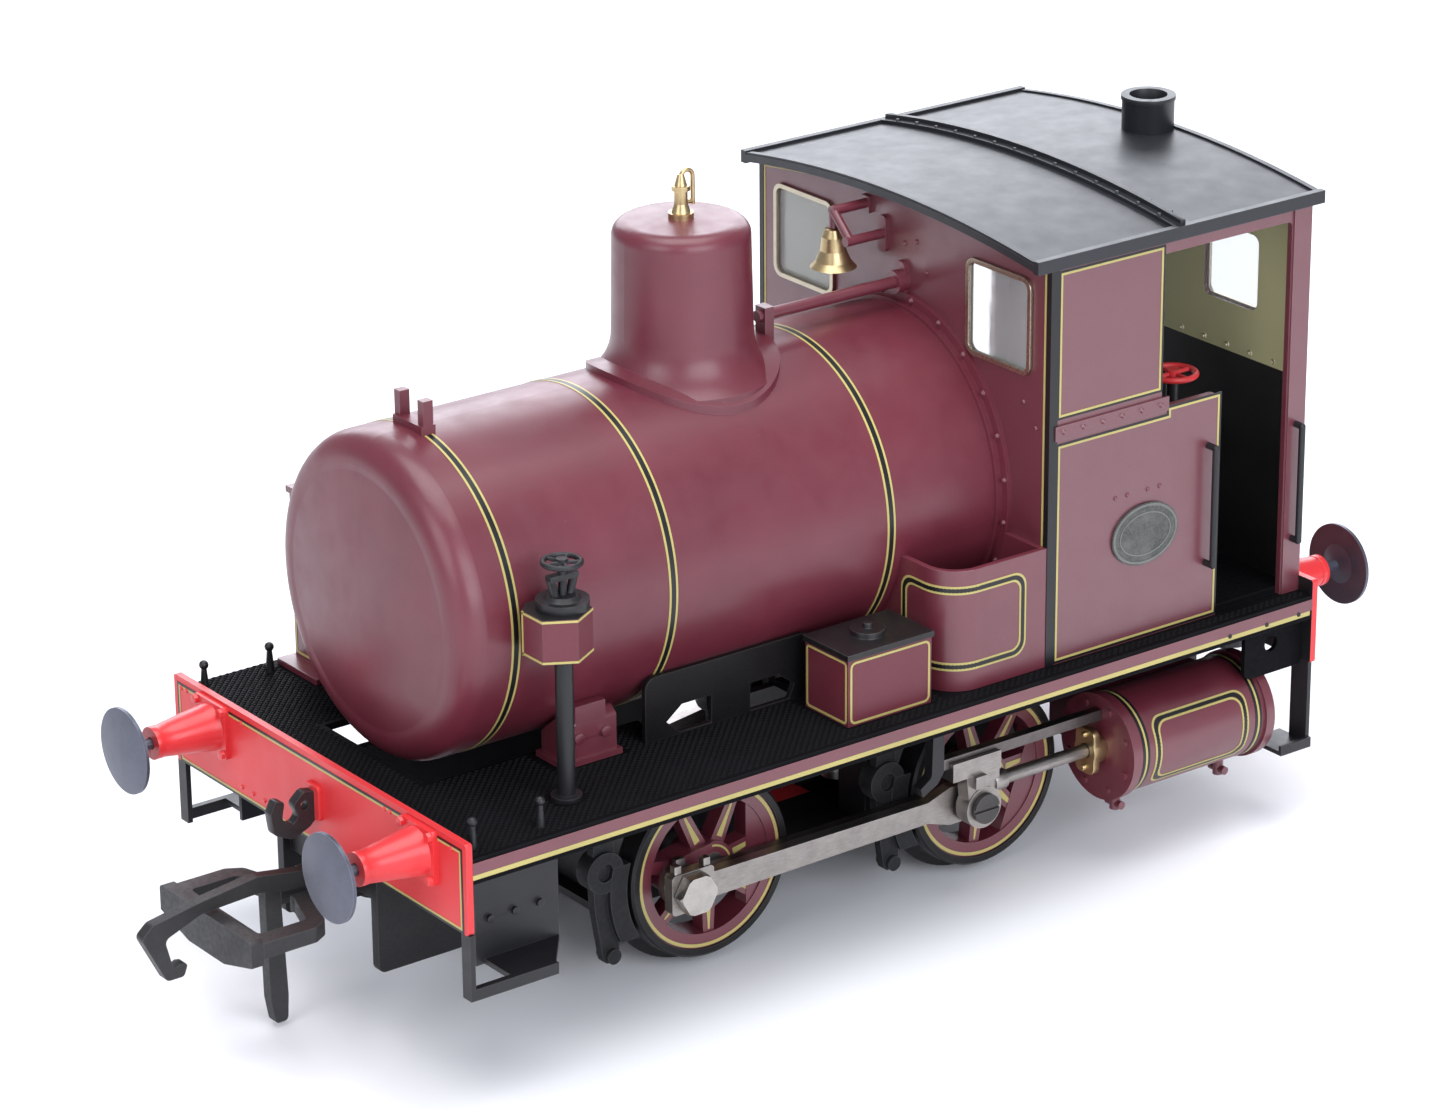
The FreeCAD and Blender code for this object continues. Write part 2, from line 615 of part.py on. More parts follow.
def steam_pipe():
    """Regulator rod along the top of the reservoir, from the cab to the dome."""
    y, z = REGULATOR_ROD_Y, REGULATOR_ROD_Z
    bar = rod((CAB_FRONT_X, y, z), (0.2, y, z), 0.38)
    gland = rod((CAB_FRONT_X, y, z), (CAB_FRONT_X + 0.9, y, z), 0.75)
    flange = plate_yz([(y - 0.5, z - 1.3, 0.4), (y + 0.5, z - 1.3, 0.4), (y + 0.5, z + 1.3, 0.4),
                       (y - 0.5, z + 1.3, 0.4)], CAB_FRONT_X, CAB_FRONT_X + 0.35)
    clip = box(-0.8, -0.1, y - 0.5, y + 0.5, 35.9, z + 0.6)
    whole = fuse([bar, gland, flange, clip]).cut(tank_solid(0))
    return whole.cut(dome()).cut(ring_zone())


def bell_bracket():
    """Two arms from the cab front joined by a yoke."""
    x = BELL_X
    y_high, z_high = BELL_Y, BELL_TOP + 1.1
    y_low, z_low = BELL_Y + 1.7, BELL_TOP - 0.5
    high = rod((CAB_FRONT_X, y_high, z_high), (x + 0.2, y_high, z_high), 0.32)
    low = rod((CAB_FRONT_X, y_low, z_low), (x + 0.4, y_low, z_low), 0.32)
    yoke = rod((x, y_high, z_high), (x, y_low, z_low), 0.3)
    hanger = rod((x, y_high, BELL_TOP), (x, y_high, z_high), 0.3)
    pad_low = plate_yz(rectangle(y_low - 0.4, y_low + 0.4, z_low - 1.2, z_low + 1.2, 0.3),
                       CAB_FRONT_X, CAB_FRONT_X + 0.3)
    pad_high = box(CAB_FRONT_X, CAB_FRONT_X + 0.3, y_high - 0.4, y_high + 0.4, z_high - 0.6, z_high + 0.5)
    return fuse([high, low, yoke, hanger, pad_low, pad_high])


def bell():
    """Hollow brass bell under the yoke."""
    x, y = BELL_X, BELL_Y
    outer = [(0.0, 0.0), (0.55, -0.1), (0.75, -0.6), (0.85, -1.5), (1.15, -2.2), (1.5, -2.6)]
    inner = [(1.3, -2.6), (0.95, -2.15), (0.65, -1.5), (0.0, -0.7)]
    points = [vec(x + r, y, BELL_TOP + drop) for r, drop in outer + inner]
    face = Part.Face(Part.makePolygon(points + [points[0]]))
    solid = face.revolve(vec(x, y, 0), vec(0, 0, 1), 360)
    if solid.Volume < 0:
        solid = solid.reversed()
    tip = BELL_TOP - 2.4
    clapper = ball((x, y, tip), 0.32).fuse(rod((x, y, tip), (x, y, BELL_TOP - 0.65), 0.1))
    return fuse([solid, clapper])


# ---------------------------------------------------------------- cab
def cross_sheet(x0, x1, half, windows):
    """Sheet across the cab whose top follows the roof, with two windows."""
    top = SHEET_TOP
    arc = Part.Arc(vec(x0, half, top), vec(x0, 0, SHEET_CROWN), vec(x0, -half, top)).toShape()
    edges = [
        Part.makeLine(vec(x0, -half, FOOTPLATE_TOP), vec(x0, half, FOOTPLATE_TOP)),
        Part.makeLine(vec(x0, half, FOOTPLATE_TOP), vec(x0, half, top)),
        arc,
        Part.makeLine(vec(x0, -half, top), vec(x0, -half, FOOTPLATE_TOP)),
    ]
    sheet = Part.Face(Part.Wire(edges)).extrude(vec(x1 - x0, 0, 0))
    y0, y1, z0, z1 = windows
    low, high = min(x0, x1) - 1, max(x0, x1) + 1
    for side in (1, -1):
        corners = [(side * u, v, r) for u, v, r in rectangle(y0, y1, z0, z1, WINDOW_CORNER)]
        sheet = sheet.cut(plate_yz(corners, low, high))
    return sheet


def cab_front_sheet():
    """Front sheet that closes the back of the reservoir."""
    return cross_sheet(CAB_FRONT_X - SHEET, CAB_FRONT_X, CAB_HALF, FRONT_WINDOW)


def cab_rear_sheet():
    sheet = cross_sheet(CAB_REAR_X, CAB_REAR_X + SHEET, CAB_HALF - SHEET, REAR_WINDOW)
    rivets = []
    for k in range(12):
        y = -12.1 + 2.2 * k
        rivets.append(taper((CAB_REAR_X + SHEET - 0.05, y, 31.0), (CAB_REAR_X + SHEET + 0.2, y, 31.0), 0.24, 0.1))
    return fuse([sheet] + rivets)


def cab_side():
    """Left side: tall front panel, lower entry panel with a rounded corner, rail and rear pillar."""
    inner, outer = CAB_HALF - SHEET, CAB_HALF
    front = CAB_FRONT_X - SHEET
    outline = [
        (front, FOOTPLATE_TOP), (ENTRY_FRONT_X, FOOTPLATE_TOP), (ENTRY_FRONT_X, 31.25, 0.9),
        (PANEL_REAR_X, 31.25), (PANEL_REAR_X, 41.4), (ENTRY_REAR_X, 41.4, 0.4),
        (ENTRY_REAR_X, FOOTPLATE_TOP), (CAB_REAR_X, FOOTPLATE_TOP),
        (CAB_REAR_X, SHEET_TOP), (front, SHEET_TOP),
    ]
    parts = [plate_xz(list(reversed(outline)), inner, outer)]
    parts.append(box(front, PANEL_REAR_X - 0.5, outer, outer + 0.15, *SIDE_RAIL_Z))
    for k in range(6):
        x = -12.6 - 1.6 * k
        parts.append(taper((x, outer + 0.1, 31.5), (x, outer + 0.35, 31.5), 0.2, 0.08))
    parts.append(box(ENTRY_REAR_X - 0.1, CAB_REAR_X, outer, outer + PILLAR_STRIP, FOOTPLATE_TOP, SHEET_TOP))
    return fuse(parts)


def cab_sides():
    return both_sides(cab_side())


def roof_section(rise, thick, x0, x1, half):
    """Strip of curved roof between two stations."""
    eave = ROOF_EAVE + rise
    crown = ROOF_CROWN + rise
    edges = [
        Part.Arc(vec(x0, half, eave), vec(x0, 0, crown), vec(x0, -half, eave)).toShape(),
        Part.makeLine(vec(x0, -half, eave), vec(x0, -half, eave - thick)),
        Part.Arc(vec(x0, -half, eave - thick), vec(x0, 0, crown - thick), vec(x0, half, eave - thick)).toShape(),
        Part.makeLine(vec(x0, half, eave - thick), vec(x0, half, eave)),
    ]
    return Part.Face(Part.Wire(edges)).extrude(vec(x1 - x0, 0, 0))


def cab_roof():
    """Curved roof with a rib across, edge strips and gutters along the eaves."""
    rib_w = 0.7
    parts = [
        roof_section(0, ROOF_THICK, ROOF_REAR_X, ROOF_FRONT_X, ROOF_HALF),
        roof_section(0.3, 0.5, ROOF_RIB_X - rib_w, ROOF_RIB_X + rib_w, ROOF_HALF - 0.3),
        roof_section(0.6, 0.5, ROOF_RIB_X - 0.2, ROOF_RIB_X + 0.2, ROOF_HALF - 0.3),
    ]
    for side in (1, -1):
        parts.append(box(ROOF_REAR_X, ROOF_FRONT_X, side * 14.5, side * 15.0, SHEET_TOP, 43.05))
    return fuse(parts)


def roof_vent():
    """Round vent near the back of the roof."""
    x = -32.2
    tube = rod((x, 0, 43.4), (x, 0, 46.25), 1.72)
    lip = rod((x, 0, 45.95), (x, 0, 46.25), 1.8)
    body = fuse([tube, lip]).cut(rod((x, 0, 43), (x, 0, 47), 1.25))
    roof = roof_section(0, ROOF_THICK + 0.5, ROOF_REAR_X, ROOF_FRONT_X, ROOF_HALF)
    return body.cut(roof)


def cab_floor():
    floor = box(CAB_REAR_X + SHEET, CAB_FRONT_X - SHEET, -CAB_HALF + SHEET, CAB_HALF - SHEET,
                FOOTPLATE_TOP, FLOOR_TOP)
    return floor


def window_rim(windows, x0, x1, side):
    """Bright rim round one window."""
    y0, y1, z0, z1 = windows
    over, cover = 0.2, 0.14
    outer = [(side * u, v, r) for u, v, r in
             rectangle(y0 - over, y1 + over, z0 - over, z1 + over, WINDOW_CORNER + over)]
    inner = [(side * u, v, r) for u, v, r in
             rectangle(y0 + cover, y1 - cover, z0 + cover, z1 - cover, WINDOW_CORNER - cover)]
    return plate_yz(outer, x0, x1).cut(plate_yz(inner, x0 - 1, x1 + 1))


def window_frames():
    rims = []
    for side in (1, -1):
        rims.append(window_rim(FRONT_WINDOW, CAB_FRONT_X, CAB_FRONT_X + 0.25, side))
        rims.append(window_rim(REAR_WINDOW, CAB_REAR_X - 0.25, CAB_REAR_X, side))
    return rims


def window_glazing():
    panes = []
    for side in (1, -1):
        for windows, x0 in ((FRONT_WINDOW, CAB_FRONT_X - 0.3), (REAR_WINDOW, CAB_REAR_X + 0.1)):
            y0, y1, z0, z1 = windows
            corners = [(side * u, v, r) for u, v, r in rectangle(y0, y1, z0, z1, WINDOW_CORNER)]
            panes.append(plate_yz(corners, x0, x0 + 0.2))
    return panes


def handrail(x, z0, z1, face):
    """Left cab handrail on two stand-offs."""
    y, r = HANDRAIL_Y, HANDRAIL_R
    parts = [rod((x, y, z0), (x, y, z1), r), ball((x, y, z0), r), ball((x, y, z1), r)]
    for z in (z0, z1):
        parts.append(rod((x, face, z), (x, y, z), r))
    return fuse(parts)


def cab_handrails():
    rails = []
    rails += both_sides(handrail(-24.85, 19.8, 27.8, CAB_HALF))
    rails += both_sides(handrail(-32.3, 19.7, 27.6, CAB_HALF + PILLAR_STRIP))
    return rails


def maker_plate():
    """Blank oval plate on the left cab side."""
    curve = Part.Ellipse(vec(0, 0, 0), 2.75, 2.07).toShape()
    face = Part.Face(Part.Wire([curve]))
    solid = face.extrude(vec(0, 0, 0.15))
    solid = solid.rotated(vec(0, 0, 0), vec(1, 0, 0), 90)
    return solid.translated(vec(OVAL_PLATE_X, CAB_HALF + 0.15, OVAL_PLATE_Z))


def maker_plates():
    return both_sides(maker_plate())


def hand_brake():
    """Brake column in the cab and its handwheel."""
    x, y, z = HAND_BRAKE_X, HAND_BRAKE_Y, HAND_BRAKE_WHEEL_Z
    column = fuse([rod((x, y, FLOOR_TOP), (x, y, z - 0.3), 0.4), rod((x, y, FLOOR_TOP), (x, y, 16.9), 1.0)])
    ring_r = 1.5
    parts = [Part.makeTorus(ring_r, 0.2, vec(x, y, z), vec(0, 0, 1)), rod((x, y, z - 0.3), (x, y, z + 0.3), 0.45)]
    for k in range(4):
        a = math.radians(90 * k)
        parts.append(rod((x, y, z), (x + ring_r * math.cos(a), y + ring_r * math.sin(a), z), 0.14))
    return [column, fuse(parts)]


# ---------------------------------------------------------------- boxes and fittings on the footplate
def bunker():
    """Left open-topped bunker with a rounded corner, against the cab and the reservoir."""
    z0, z1, wall = FOOTPLATE_TOP, BUNKER_TOP, BUNKER_WALL
    front, inner_y = BUNKER_FRONT_X, BUNKER_INNER_Y
    outer = plate_xy([(CAB_FRONT_X, inner_y), (front, inner_y), (front, CAB_HALF, 2.4), (CAB_FRONT_X, CAB_HALF)],
                     z0, z1)
    pocket = plate_xy([(CAB_FRONT_X + wall, inner_y - 1), (front - wall, inner_y - 1),
                       (front - wall, CAB_HALF - wall, 2.0), (CAB_FRONT_X + wall, CAB_HALF - wall)],
                      z0 + wall, z1 + 1)
    return outer.cut(pocket).cut(tank_solid(0)).cut(ring_zone())


def ring_zone():
    """Space kept clear for the riveted ring at the cab."""
    return rod((CAB_FRONT_X - 0.1, 0, TANK_Z), (CAB_FRONT_X + 0.75, 0, TANK_Z), RING_R)


def bunkers():
    return both_sides(bunker())


def sandbox():
    """Left sandbox and its lid with a round filler."""
    x0, x1, y0, y1 = SANDBOX
    top, over = SANDBOX_TOP, LID_OVERHANG
    x, y = 1.0, (y0 + y1) / 2 + 0.05
    body = box(x0, x1, y0, y1, FOOTPLATE_TOP, top)
    lid = box(x0 - over, x1 + over, y0 - over, y1 + over, top, top + 0.4)
    filler = rod((x, y, top + 0.35), (x, y, top + 0.8), 1.1)
    knob = rod((x, y, top + 0.75), (x, y, top + 1.15), 0.3)
    return [body, fuse([lid, filler, knob])]


def sandboxes():
    left = sandbox()
    return left + [mirrored(s) for s in left]


def charging_column():
    """Post, cap and small handwheel of the charging valve."""
    x, y = COLUMN_X, COLUMN_Y
    post = fuse([rod((x, y, FOOTPLATE_TOP), (x, y, VALVE_BOX_BOTTOM), 0.55),
                 rod((x, y, FOOTPLATE_TOP), (x, y, 16.2), 0.95)])
    base, wheel_z = VALVE_BOX_TOP, VALVE_WHEEL_Z
    parts = [rod((x, y, base), (x, y, base + 0.6), 1.6), taper((x, y, base + 0.6), (x, y, base + 0.85), 1.15, 0.9),
             rod((x, y, base + 0.8), (x, y, wheel_z), 0.26),
             box(x - 1.0, x + 1.0, y - 0.3, y + 0.3, wheel_z - 1.05, wheel_z - 0.7)]
    for side in (1, -1):
        parts.append(rod((x + side * 0.5, y, base + 0.7), (x + side * 0.85, y, wheel_z - 0.9), 0.26))
    parts.append(Part.makeTorus(1.13, 0.17, vec(x, y, wheel_z), vec(0, 0, 1)))
    for k in range(5):
        a = math.radians(72 * k)
        parts.append(rod((x, y, wheel_z), (x + 1.13 * math.cos(a), y + 1.13 * math.sin(a), wheel_z), 0.12))
    parts.append(rod((x, y, wheel_z - 0.2), (x, y, wheel_z + 0.25), 0.36))
    return [post, fuse(parts)]


def charging_valve_box():
    """Six-sided lined box on the column, cut flat beside the reservoir."""
    x, y = COLUMN_X + 0.4, COLUMN_Y
    across = VALVE_BOX_R * math.cos(math.radians(30))
    corner = VALVE_BOX_R / 2
    outline = [(x - across + 0.9, VALVE_BOX_BACK_Y), (x + across - 0.9, VALVE_BOX_BACK_Y),
               (x + across, y - corner), (x + across, y + corner), (x, y + VALVE_BOX_R),
               (x - across, y + corner), (x - across, y - corner)]
    return plate_xy(outline, VALVE_BOX_BOTTOM, VALVE_BOX_TOP)


def locker():
    """Tall box on the right of the footplate."""
    x0, x1, y0, y1 = LOCKER
    foot = box(x0 - 0.3, x1 + 1.2, -y1 - 0.3, 0.2 - y0, FOOTPLATE_TOP, FOOTPLATE_TOP + 0.42)
    body = box(x0, x1, -y1, -y0, FOOTPLATE_TOP + 0.37, LOCKER_TOP)
    lid = box(x0 - 0.1, x1 + 0.2, -y1 - 0.1, 0.1 - y0, LOCKER_TOP - 0.1, LOCKER_TOP + 0.35)
    return fuse([foot, body, lid])


def valve_casting():
    """Left bolted casting under the front of the reservoir."""
    x0, x1 = CASTING_X
    base = FOOTPLATE_TOP + 0.37
    foot = box(x0 - 0.3, x1 + 0.3, 6.2, 9.1, FOOTPLATE_TOP, base)
    body = plate_yz([(6.4, base), (8.9, base), (8.9, 18.6, 0.3), (8.2, 19.1, 0.3), (7.6, 18.6), (6.4, 17.6)],
                    x0, x1)
    bonnet = box(x0 + 0.8, x1 - 0.8, 7.9, 8.9, 18.5, 19.7)
    parts = [foot, body, bonnet]
    for x in (x0 + 0.9, x1 - 0.9):
        parts.append(rod((x, 8.8, 17.7), (x, 9.2, 17.7), 0.35))
    return fuse(parts).cut(tank_solid(0))


def valve_castings():
    return both_sides(valve_casting())


# ---------------------------------------------------------------- cylinders and motion supports
def cylinder():
    """Left cylinder with covers, bracket to the frame and drain cocks."""
    y, z = CYLINDER_Y, PISTON_Z
    x0, x1 = CYLINDER_REAR_X, CYLINDER_FRONT_X
    parts = [
        rod((x0, y, z), (x1, y, z), CYLINDER_R),
        rod((x1 - 0.7, y, z), (x1, y, z), CYLINDER_COVER_R),
        rod((x0, y, z), (x0 + 0.7, y, z), CYLINDER_COVER_R),
        taper((x0, y, z), (x0 - 0.4, y, z), 3.0, 2.4),
        box(-28.4, -19.8, FRAME_OUTER_Y, y - 1.0, z - 1.6, z + 2.6),
    ]
    for k in range(8):
        a = math.radians(45 * k + 22.5)
        py, pz = y + 2.95 * math.cos(a), z + 2.95 * math.sin(a)
        parts.append(rod((x1 - 0.1, py, pz), (x1 + 0.2, py, pz), 0.22))
    for x in (-19.6, -28.6):
        parts.append(rod((x, y, 3.2), (x, y, z), 0.35))
        parts.append(rod((x, y - 0.7, 3.6), (x, y + 0.7, 3.6), 0.28))
    body = fuse(parts)
    return body.cut(rod((-28.5, y, z), (x1 + 1, y, z), PISTON_ROD_R + RUNNING_FIT))


def cylinders():
    return both_sides(cylinder())


def cylinder_gland():
    """Brass stuffing gland with two studs, left."""
    y, z = CYLINDER_Y, PISTON_Z
    x = CYLINDER_FRONT_X
    parts = [rod((x, y, z), (x + 1.1, y, z), 1.0),
             plate_yz([(y - 0.9, z - 1.55, 0.5), (y + 0.9, z - 1.55, 0.5), (y + 0.9, z + 1.55, 0.5),
                       (y - 0.9, z + 1.55, 0.5)], x + 0.6, x + 1.1)]
    for dz in (-1.15, 1.15):
        parts.append(rod((x + 1.0, y, z + dz), (x + 1.35, y, z + dz), 0.2))
    return fuse(parts).cut(rod((x - 1, y, z), (x + 3, y, z), PISTON_ROD_R + RUNNING_FIT))


def cylinder_glands():
    return both_sides(cylinder_gland())


def slide_bar():
    return box(CYLINDER_FRONT_X, SLIDE_BAR_FRONT_X, CYLINDER_Y - 0.35, CYLINDER_Y + 0.35, *SLIDE_BAR_Z)


def slide_bars():
    return both_sides(slide_bar())


def motion_bracket():
    """Post under the footplate that holds the front of the slide bar, left."""
    y0, y1 = CYLINDER_Y - 0.4, CYLINDER_Y + 0.4
    top = FOOTPLATE_TOP - FOOTPLATE_THICK
    post = plate_xz(
        [(-4.9, top), (-4.9, 9.9), (-4.4, 9.2, 0.4), (-3.2, 8.6), (-3.0, 9.2), (-3.9, 9.8, 0.4), (-4.1, top)],
        y0, y1)
    foot = box(-5.6, -3.4, y0 - 0.4, y1 + 0.4, top - 0.4, top)
    return fuse([post, foot])


def motion_brackets():
    return both_sides(motion_bracket())


# ---------------------------------------------------------------- wheelsets
def wheel_centre(wheel_x, phase, weight_angle):
    """Left spoked centre with its crank boss towards +X and a crescent balance weight."""
    y0, y1 = WHEEL_BACK_Y + 0.2, WHEEL_FACE_Y - 0.15
    c = (wheel_x, AXLE_Z)
    rim = rod((c[0], y0, c[1]), (c[0], y1, c[1]), TYRE_BORE_R)
    rim = rim.cut(rod((c[0], y0 - 1, c[1]), (c[0], y1 + 1, c[1]), RIM_BORE_R))
    hub = rod((c[0], WHEEL_BACK_Y, c[1]), (c[0], WHEEL_FACE_Y + 0.05, c[1]), HUB_R)
    parts = [rim, hub]
    for k in range(SPOKES):
        a = phase + 360.0 / SPOKES * k
        spoke = plate_xz([(c[0], c[1] - 0.62), (c[0] + RIM_BORE_R + 0.3, c[1] - 0.38),
                          (c[0] + RIM_BORE_R + 0.3, c[1] + 0.38), (c[0], c[1] + 0.62)],
                         8.2, WHEEL_FACE_Y - 0.3)
        parts.append(spoke.rotated(vec(c[0], 0, c[1]), vec(0, 1, 0), -a))
    boss = plate_xz([(c[0], c[1] - 1.7), (c[0] + THROW, c[1] - 1.25, 1.0), (c[0] + THROW + 1.25, c[1], 1.0),
                     (c[0] + THROW, c[1] + 1.25, 1.0), (c[0], c[1] + 1.7)], 8.0, WHEEL_FACE_Y + 0.15)
    parts.append(boss)
    disc = rod((c[0], 8.2, c[1]), (c[0], WHEEL_FACE_Y - 0.25, c[1]), RIM_BORE_R + 0.1)
    keep = box(c[0] + 2.9, c[0] + 6.0, 8.0, 10.0, c[1] - 6.0, c[1] + 6.0)
    weight = disc.common(keep).rotated(vec(c[0], 0, c[1]), vec(0, 1, 0), -weight_angle)
    parts.append(weight)
    body = fuse(parts)
    body = body.cut(rod((c[0], 6, c[1]), (c[0], 11, c[1]), AXLE_R))
    return body.cut(rod((c[0] + THROW, 8.6, c[1]), (c[0] + THROW, 11, c[1]), CRANKPIN_R))


def quartered(shape, wheel_x):
    """Right-hand copy of a wheel piece, its crank a quarter turn ahead of the left."""
    return mirrored(shape).rotated(vec(wheel_x, 0, AXLE_Z), vec(0, 1, 0), 90)


def wheel_pair(wheel_x, phase, weight_angle):
    left = wheel_centre(wheel_x, phase, weight_angle)
    return [left, quartered(left, wheel_x)]


def tyre(wheel_x):
    """Left flanged tyre."""
    y0, y1, y2 = WHEEL_BACK_Y, FLANGE_FACE_Y, WHEEL_FACE_Y
    profile = [(TYRE_BORE_R, y0), (FLANGE_R - 0.15, y0), (FLANGE_R, y0 + 0.2), (FLANGE_R, y0 + 0.4),
               (TREAD_R + 0.1, y1), (TREAD_R, y2 - 0.15), (TREAD_R - 0.15, y2), (TYRE_BORE_R, y2)]
    points = [vec(wheel_x + r, y, AXLE_Z) for r, y in profile]
    solid = Part.Face(Part.makePolygon(points + [points[0]])).revolve(vec(wheel_x, 0, AXLE_Z), vec(0, 1, 0), 360)
    if solid.Volume < 0:
        solid = solid.reversed()
    return solid


def tyres(wheel_x):
    return both_sides(tyre(wheel_x))


def axle(wheel_x, pin_end, head):
    """Axle and both crankpins; head is the outer fastening of the left pin."""
    shaft = rod((wheel_x, -WHEEL_FACE_Y - 0.1, AXLE_Z), (wheel_x, WHEEL_FACE_Y + 0.1, AXLE_Z), AXLE_R)
    pin = rod((wheel_x + THROW, 8.6, AXLE_Z), (wheel_x + THROW, pin_end, AXLE_Z), CRANKPIN_R)
    left = fuse([pin, head])
    return [shaft, left, quartered(left, wheel_x)]


def front_axle():
    x = AXLE_X + THROW
    y0 = CONNECTING_ROD_Y[1] + RUNNING_FIT
    nut = hexagon_y((x, AXLE_Z), 1.4, y0, y0 + 0.8).common(taper((x, y0, AXLE_Z), (x, y0 + 0.8, AXLE_Z), 1.7, 1.3))
    spacer_y0 = COUPLING_ROD_Y[1] + 0.02
    spacer = rod((x, spacer_y0, AXLE_Z), (x, CONNECTING_ROD_Y[0] - 0.03, AXLE_Z), 1.0)
    return axle(AXLE_X, y0 + 0.1, fuse([nut, spacer]))


def rear_axle():
    x = -AXLE_X + THROW
    y0 = COUPLING_ROD_Y[1] + 0.02
    washer = rod((x, y0, AXLE_Z), (x, y0 + 0.12, AXLE_Z), 0.95)
    return axle(-AXLE_X, y0 + 0.05, washer)


def axle_gear():
    """Gear on the rear axle that the worm drives."""
    pitch_r = GEAR_TEETH * GEAR_MODULE / 2
    tip_r = pitch_r + 0.2
    root_r = pitch_r - 0.3
    step = 360.0 / GEAR_TEETH
    points = []
    for k in range(GEAR_TEETH):
        for share, r in ((-0.32, root_r), (-0.12, tip_r), (0.12, tip_r), (0.32, root_r)):
            a = math.radians((k + share) * step)
            points.append((-AXLE_X + r * math.cos(a), AXLE_Z + r * math.sin(a)))
    wheel = plate_xz(points, -GEAR_HALF_WIDTH, GEAR_HALF_WIDTH)
    hub = rod((-AXLE_X, -1.8, AXLE_Z), (-AXLE_X, 1.8, AXLE_Z), 1.7)
    return wheel.fuse(hub).cut(rod((-AXLE_X, -3, AXLE_Z), (-AXLE_X, 3, AXLE_Z), AXLE_R)).removeSplitter()


def worm_shaft():
    """Motor shaft with a single-start worm in front of the rear axle."""
    pitch = math.pi * GEAR_MODULE
    core_r = 1.1
    tip_r = WORM_PITCH_R
    helix = Part.makeHelix(pitch, WORM_TOP_Z - WORM_BOTTOM_Z - 1.4, core_r)
    helix.translate(vec(0, 0, WORM_BOTTOM_Z + 0.7))
    z = WORM_BOTTOM_Z + 0.7
    tooth = Part.makePolygon([vec(core_r - 0.15, 0, z - 0.24), vec(tip_r, 0, z - 0.1), vec(tip_r, 0, z + 0.1),
                              vec(core_r - 0.15, 0, z + 0.24), vec(core_r - 0.15, 0, z - 0.24)])
    thread = Part.Wire(helix).makePipeShell([tooth], True, True)
    core = rod((0, 0, WORM_BOTTOM_Z), (0, 0, WORM_TOP_Z), core_r)
    shaft = rod((0, 0, WORM_BOTTOM_Z - 0.1), (0, 0, MOTOR_BOTTOM_Z + 3.0), WORM_SHAFT_R)
    whole = core.fuse(thread).fuse(shaft)
    return whole.translated(vec(WORM_X, 0, 0))


def motor():
    """Can motor standing in the reservoir over the worm."""
    x = WORM_X
    can = rod((x, 0, MOTOR_BOTTOM_Z), (x, 0, MOTOR_TOP_Z), MOTOR_R)
    flats = box(x - 6, x + 6, -3.9, 3.9, MOTOR_BOTTOM_Z - 1, MOTOR_TOP_Z + 1)
    boss = rod((x, 0, MOTOR_BOTTOM_Z - 0.6), (x, 0, MOTOR_BOTTOM_Z), 1.6)
    cap = rod((x, 0, MOTOR_TOP_Z), (x, 0, MOTOR_TOP_Z + 0.8), 2.2)
    body = fuse([can.common(flats), boss, cap])
    body = body.cut(rod((x, 0, MOTOR_BOTTOM_Z - 2), (x, 0, MOTOR_BOTTOM_Z + 3.4), WORM_SHAFT_R + RUNNING_FIT))
    bracket = [box(x - 3, x + 3, side * 3.9, side * 4.6, 20.0, 21.0) for side in (1, -1)]
    reach = []
    for side in (1, -1):
        arm = box(x - 2.5, x + 2.5, side * 3.9, side * 9.0, 24.0, 28.0)
        reach.append(arm.common(rod((x - 9, 0, TANK_Z), (x + 9, 0, TANK_Z), TANK_R - TANK_WALL)))
    return [fuse([body] + bracket + reach)]


# ---------------------------------------------------------------- rods and crossheads
def coupling_rod_left():
    """Fluted rod joining the two left crankpins."""
    y0, y1 = COUPLING_ROD_Y
    xf, xr = AXLE_X + THROW, -AXLE_X + THROW
    parts = [plate_xz([(xr, AXLE_Z - 0.62), (xf, AXLE_Z - 0.62), (xf, AXLE_Z + 0.62), (xr, AXLE_Z + 0.62)], y0, y1)]
    for x in (xf, xr):
        parts.append(rod((x, y0, AXLE_Z), (x, y1, AXLE_Z), 1.35))
        parts.append(box(x - 0.35, x + 0.35, y0 + 0.1, y1 - 0.1, AXLE_Z + 1.1, AXLE_Z + 1.75))
    body = fuse(parts)
    flute = box(xr + 2.2, xf - 2.2, y1 - 0.15, y1 + 1, AXLE_Z - 0.3, AXLE_Z + 0.3)
    body = body.cut(flute)
    for x in (xf, xr):
        body = body.cut(rod((x, y0 - 1, AXLE_Z), (x, y1 + 1, AXLE_Z), CRANKPIN_R + RUNNING_FIT))
    return body


def coupling_rod_right():
    shift = coupling_rod_left()
    return mirrored(shift).translated(vec(-THROW, 0, -THROW))


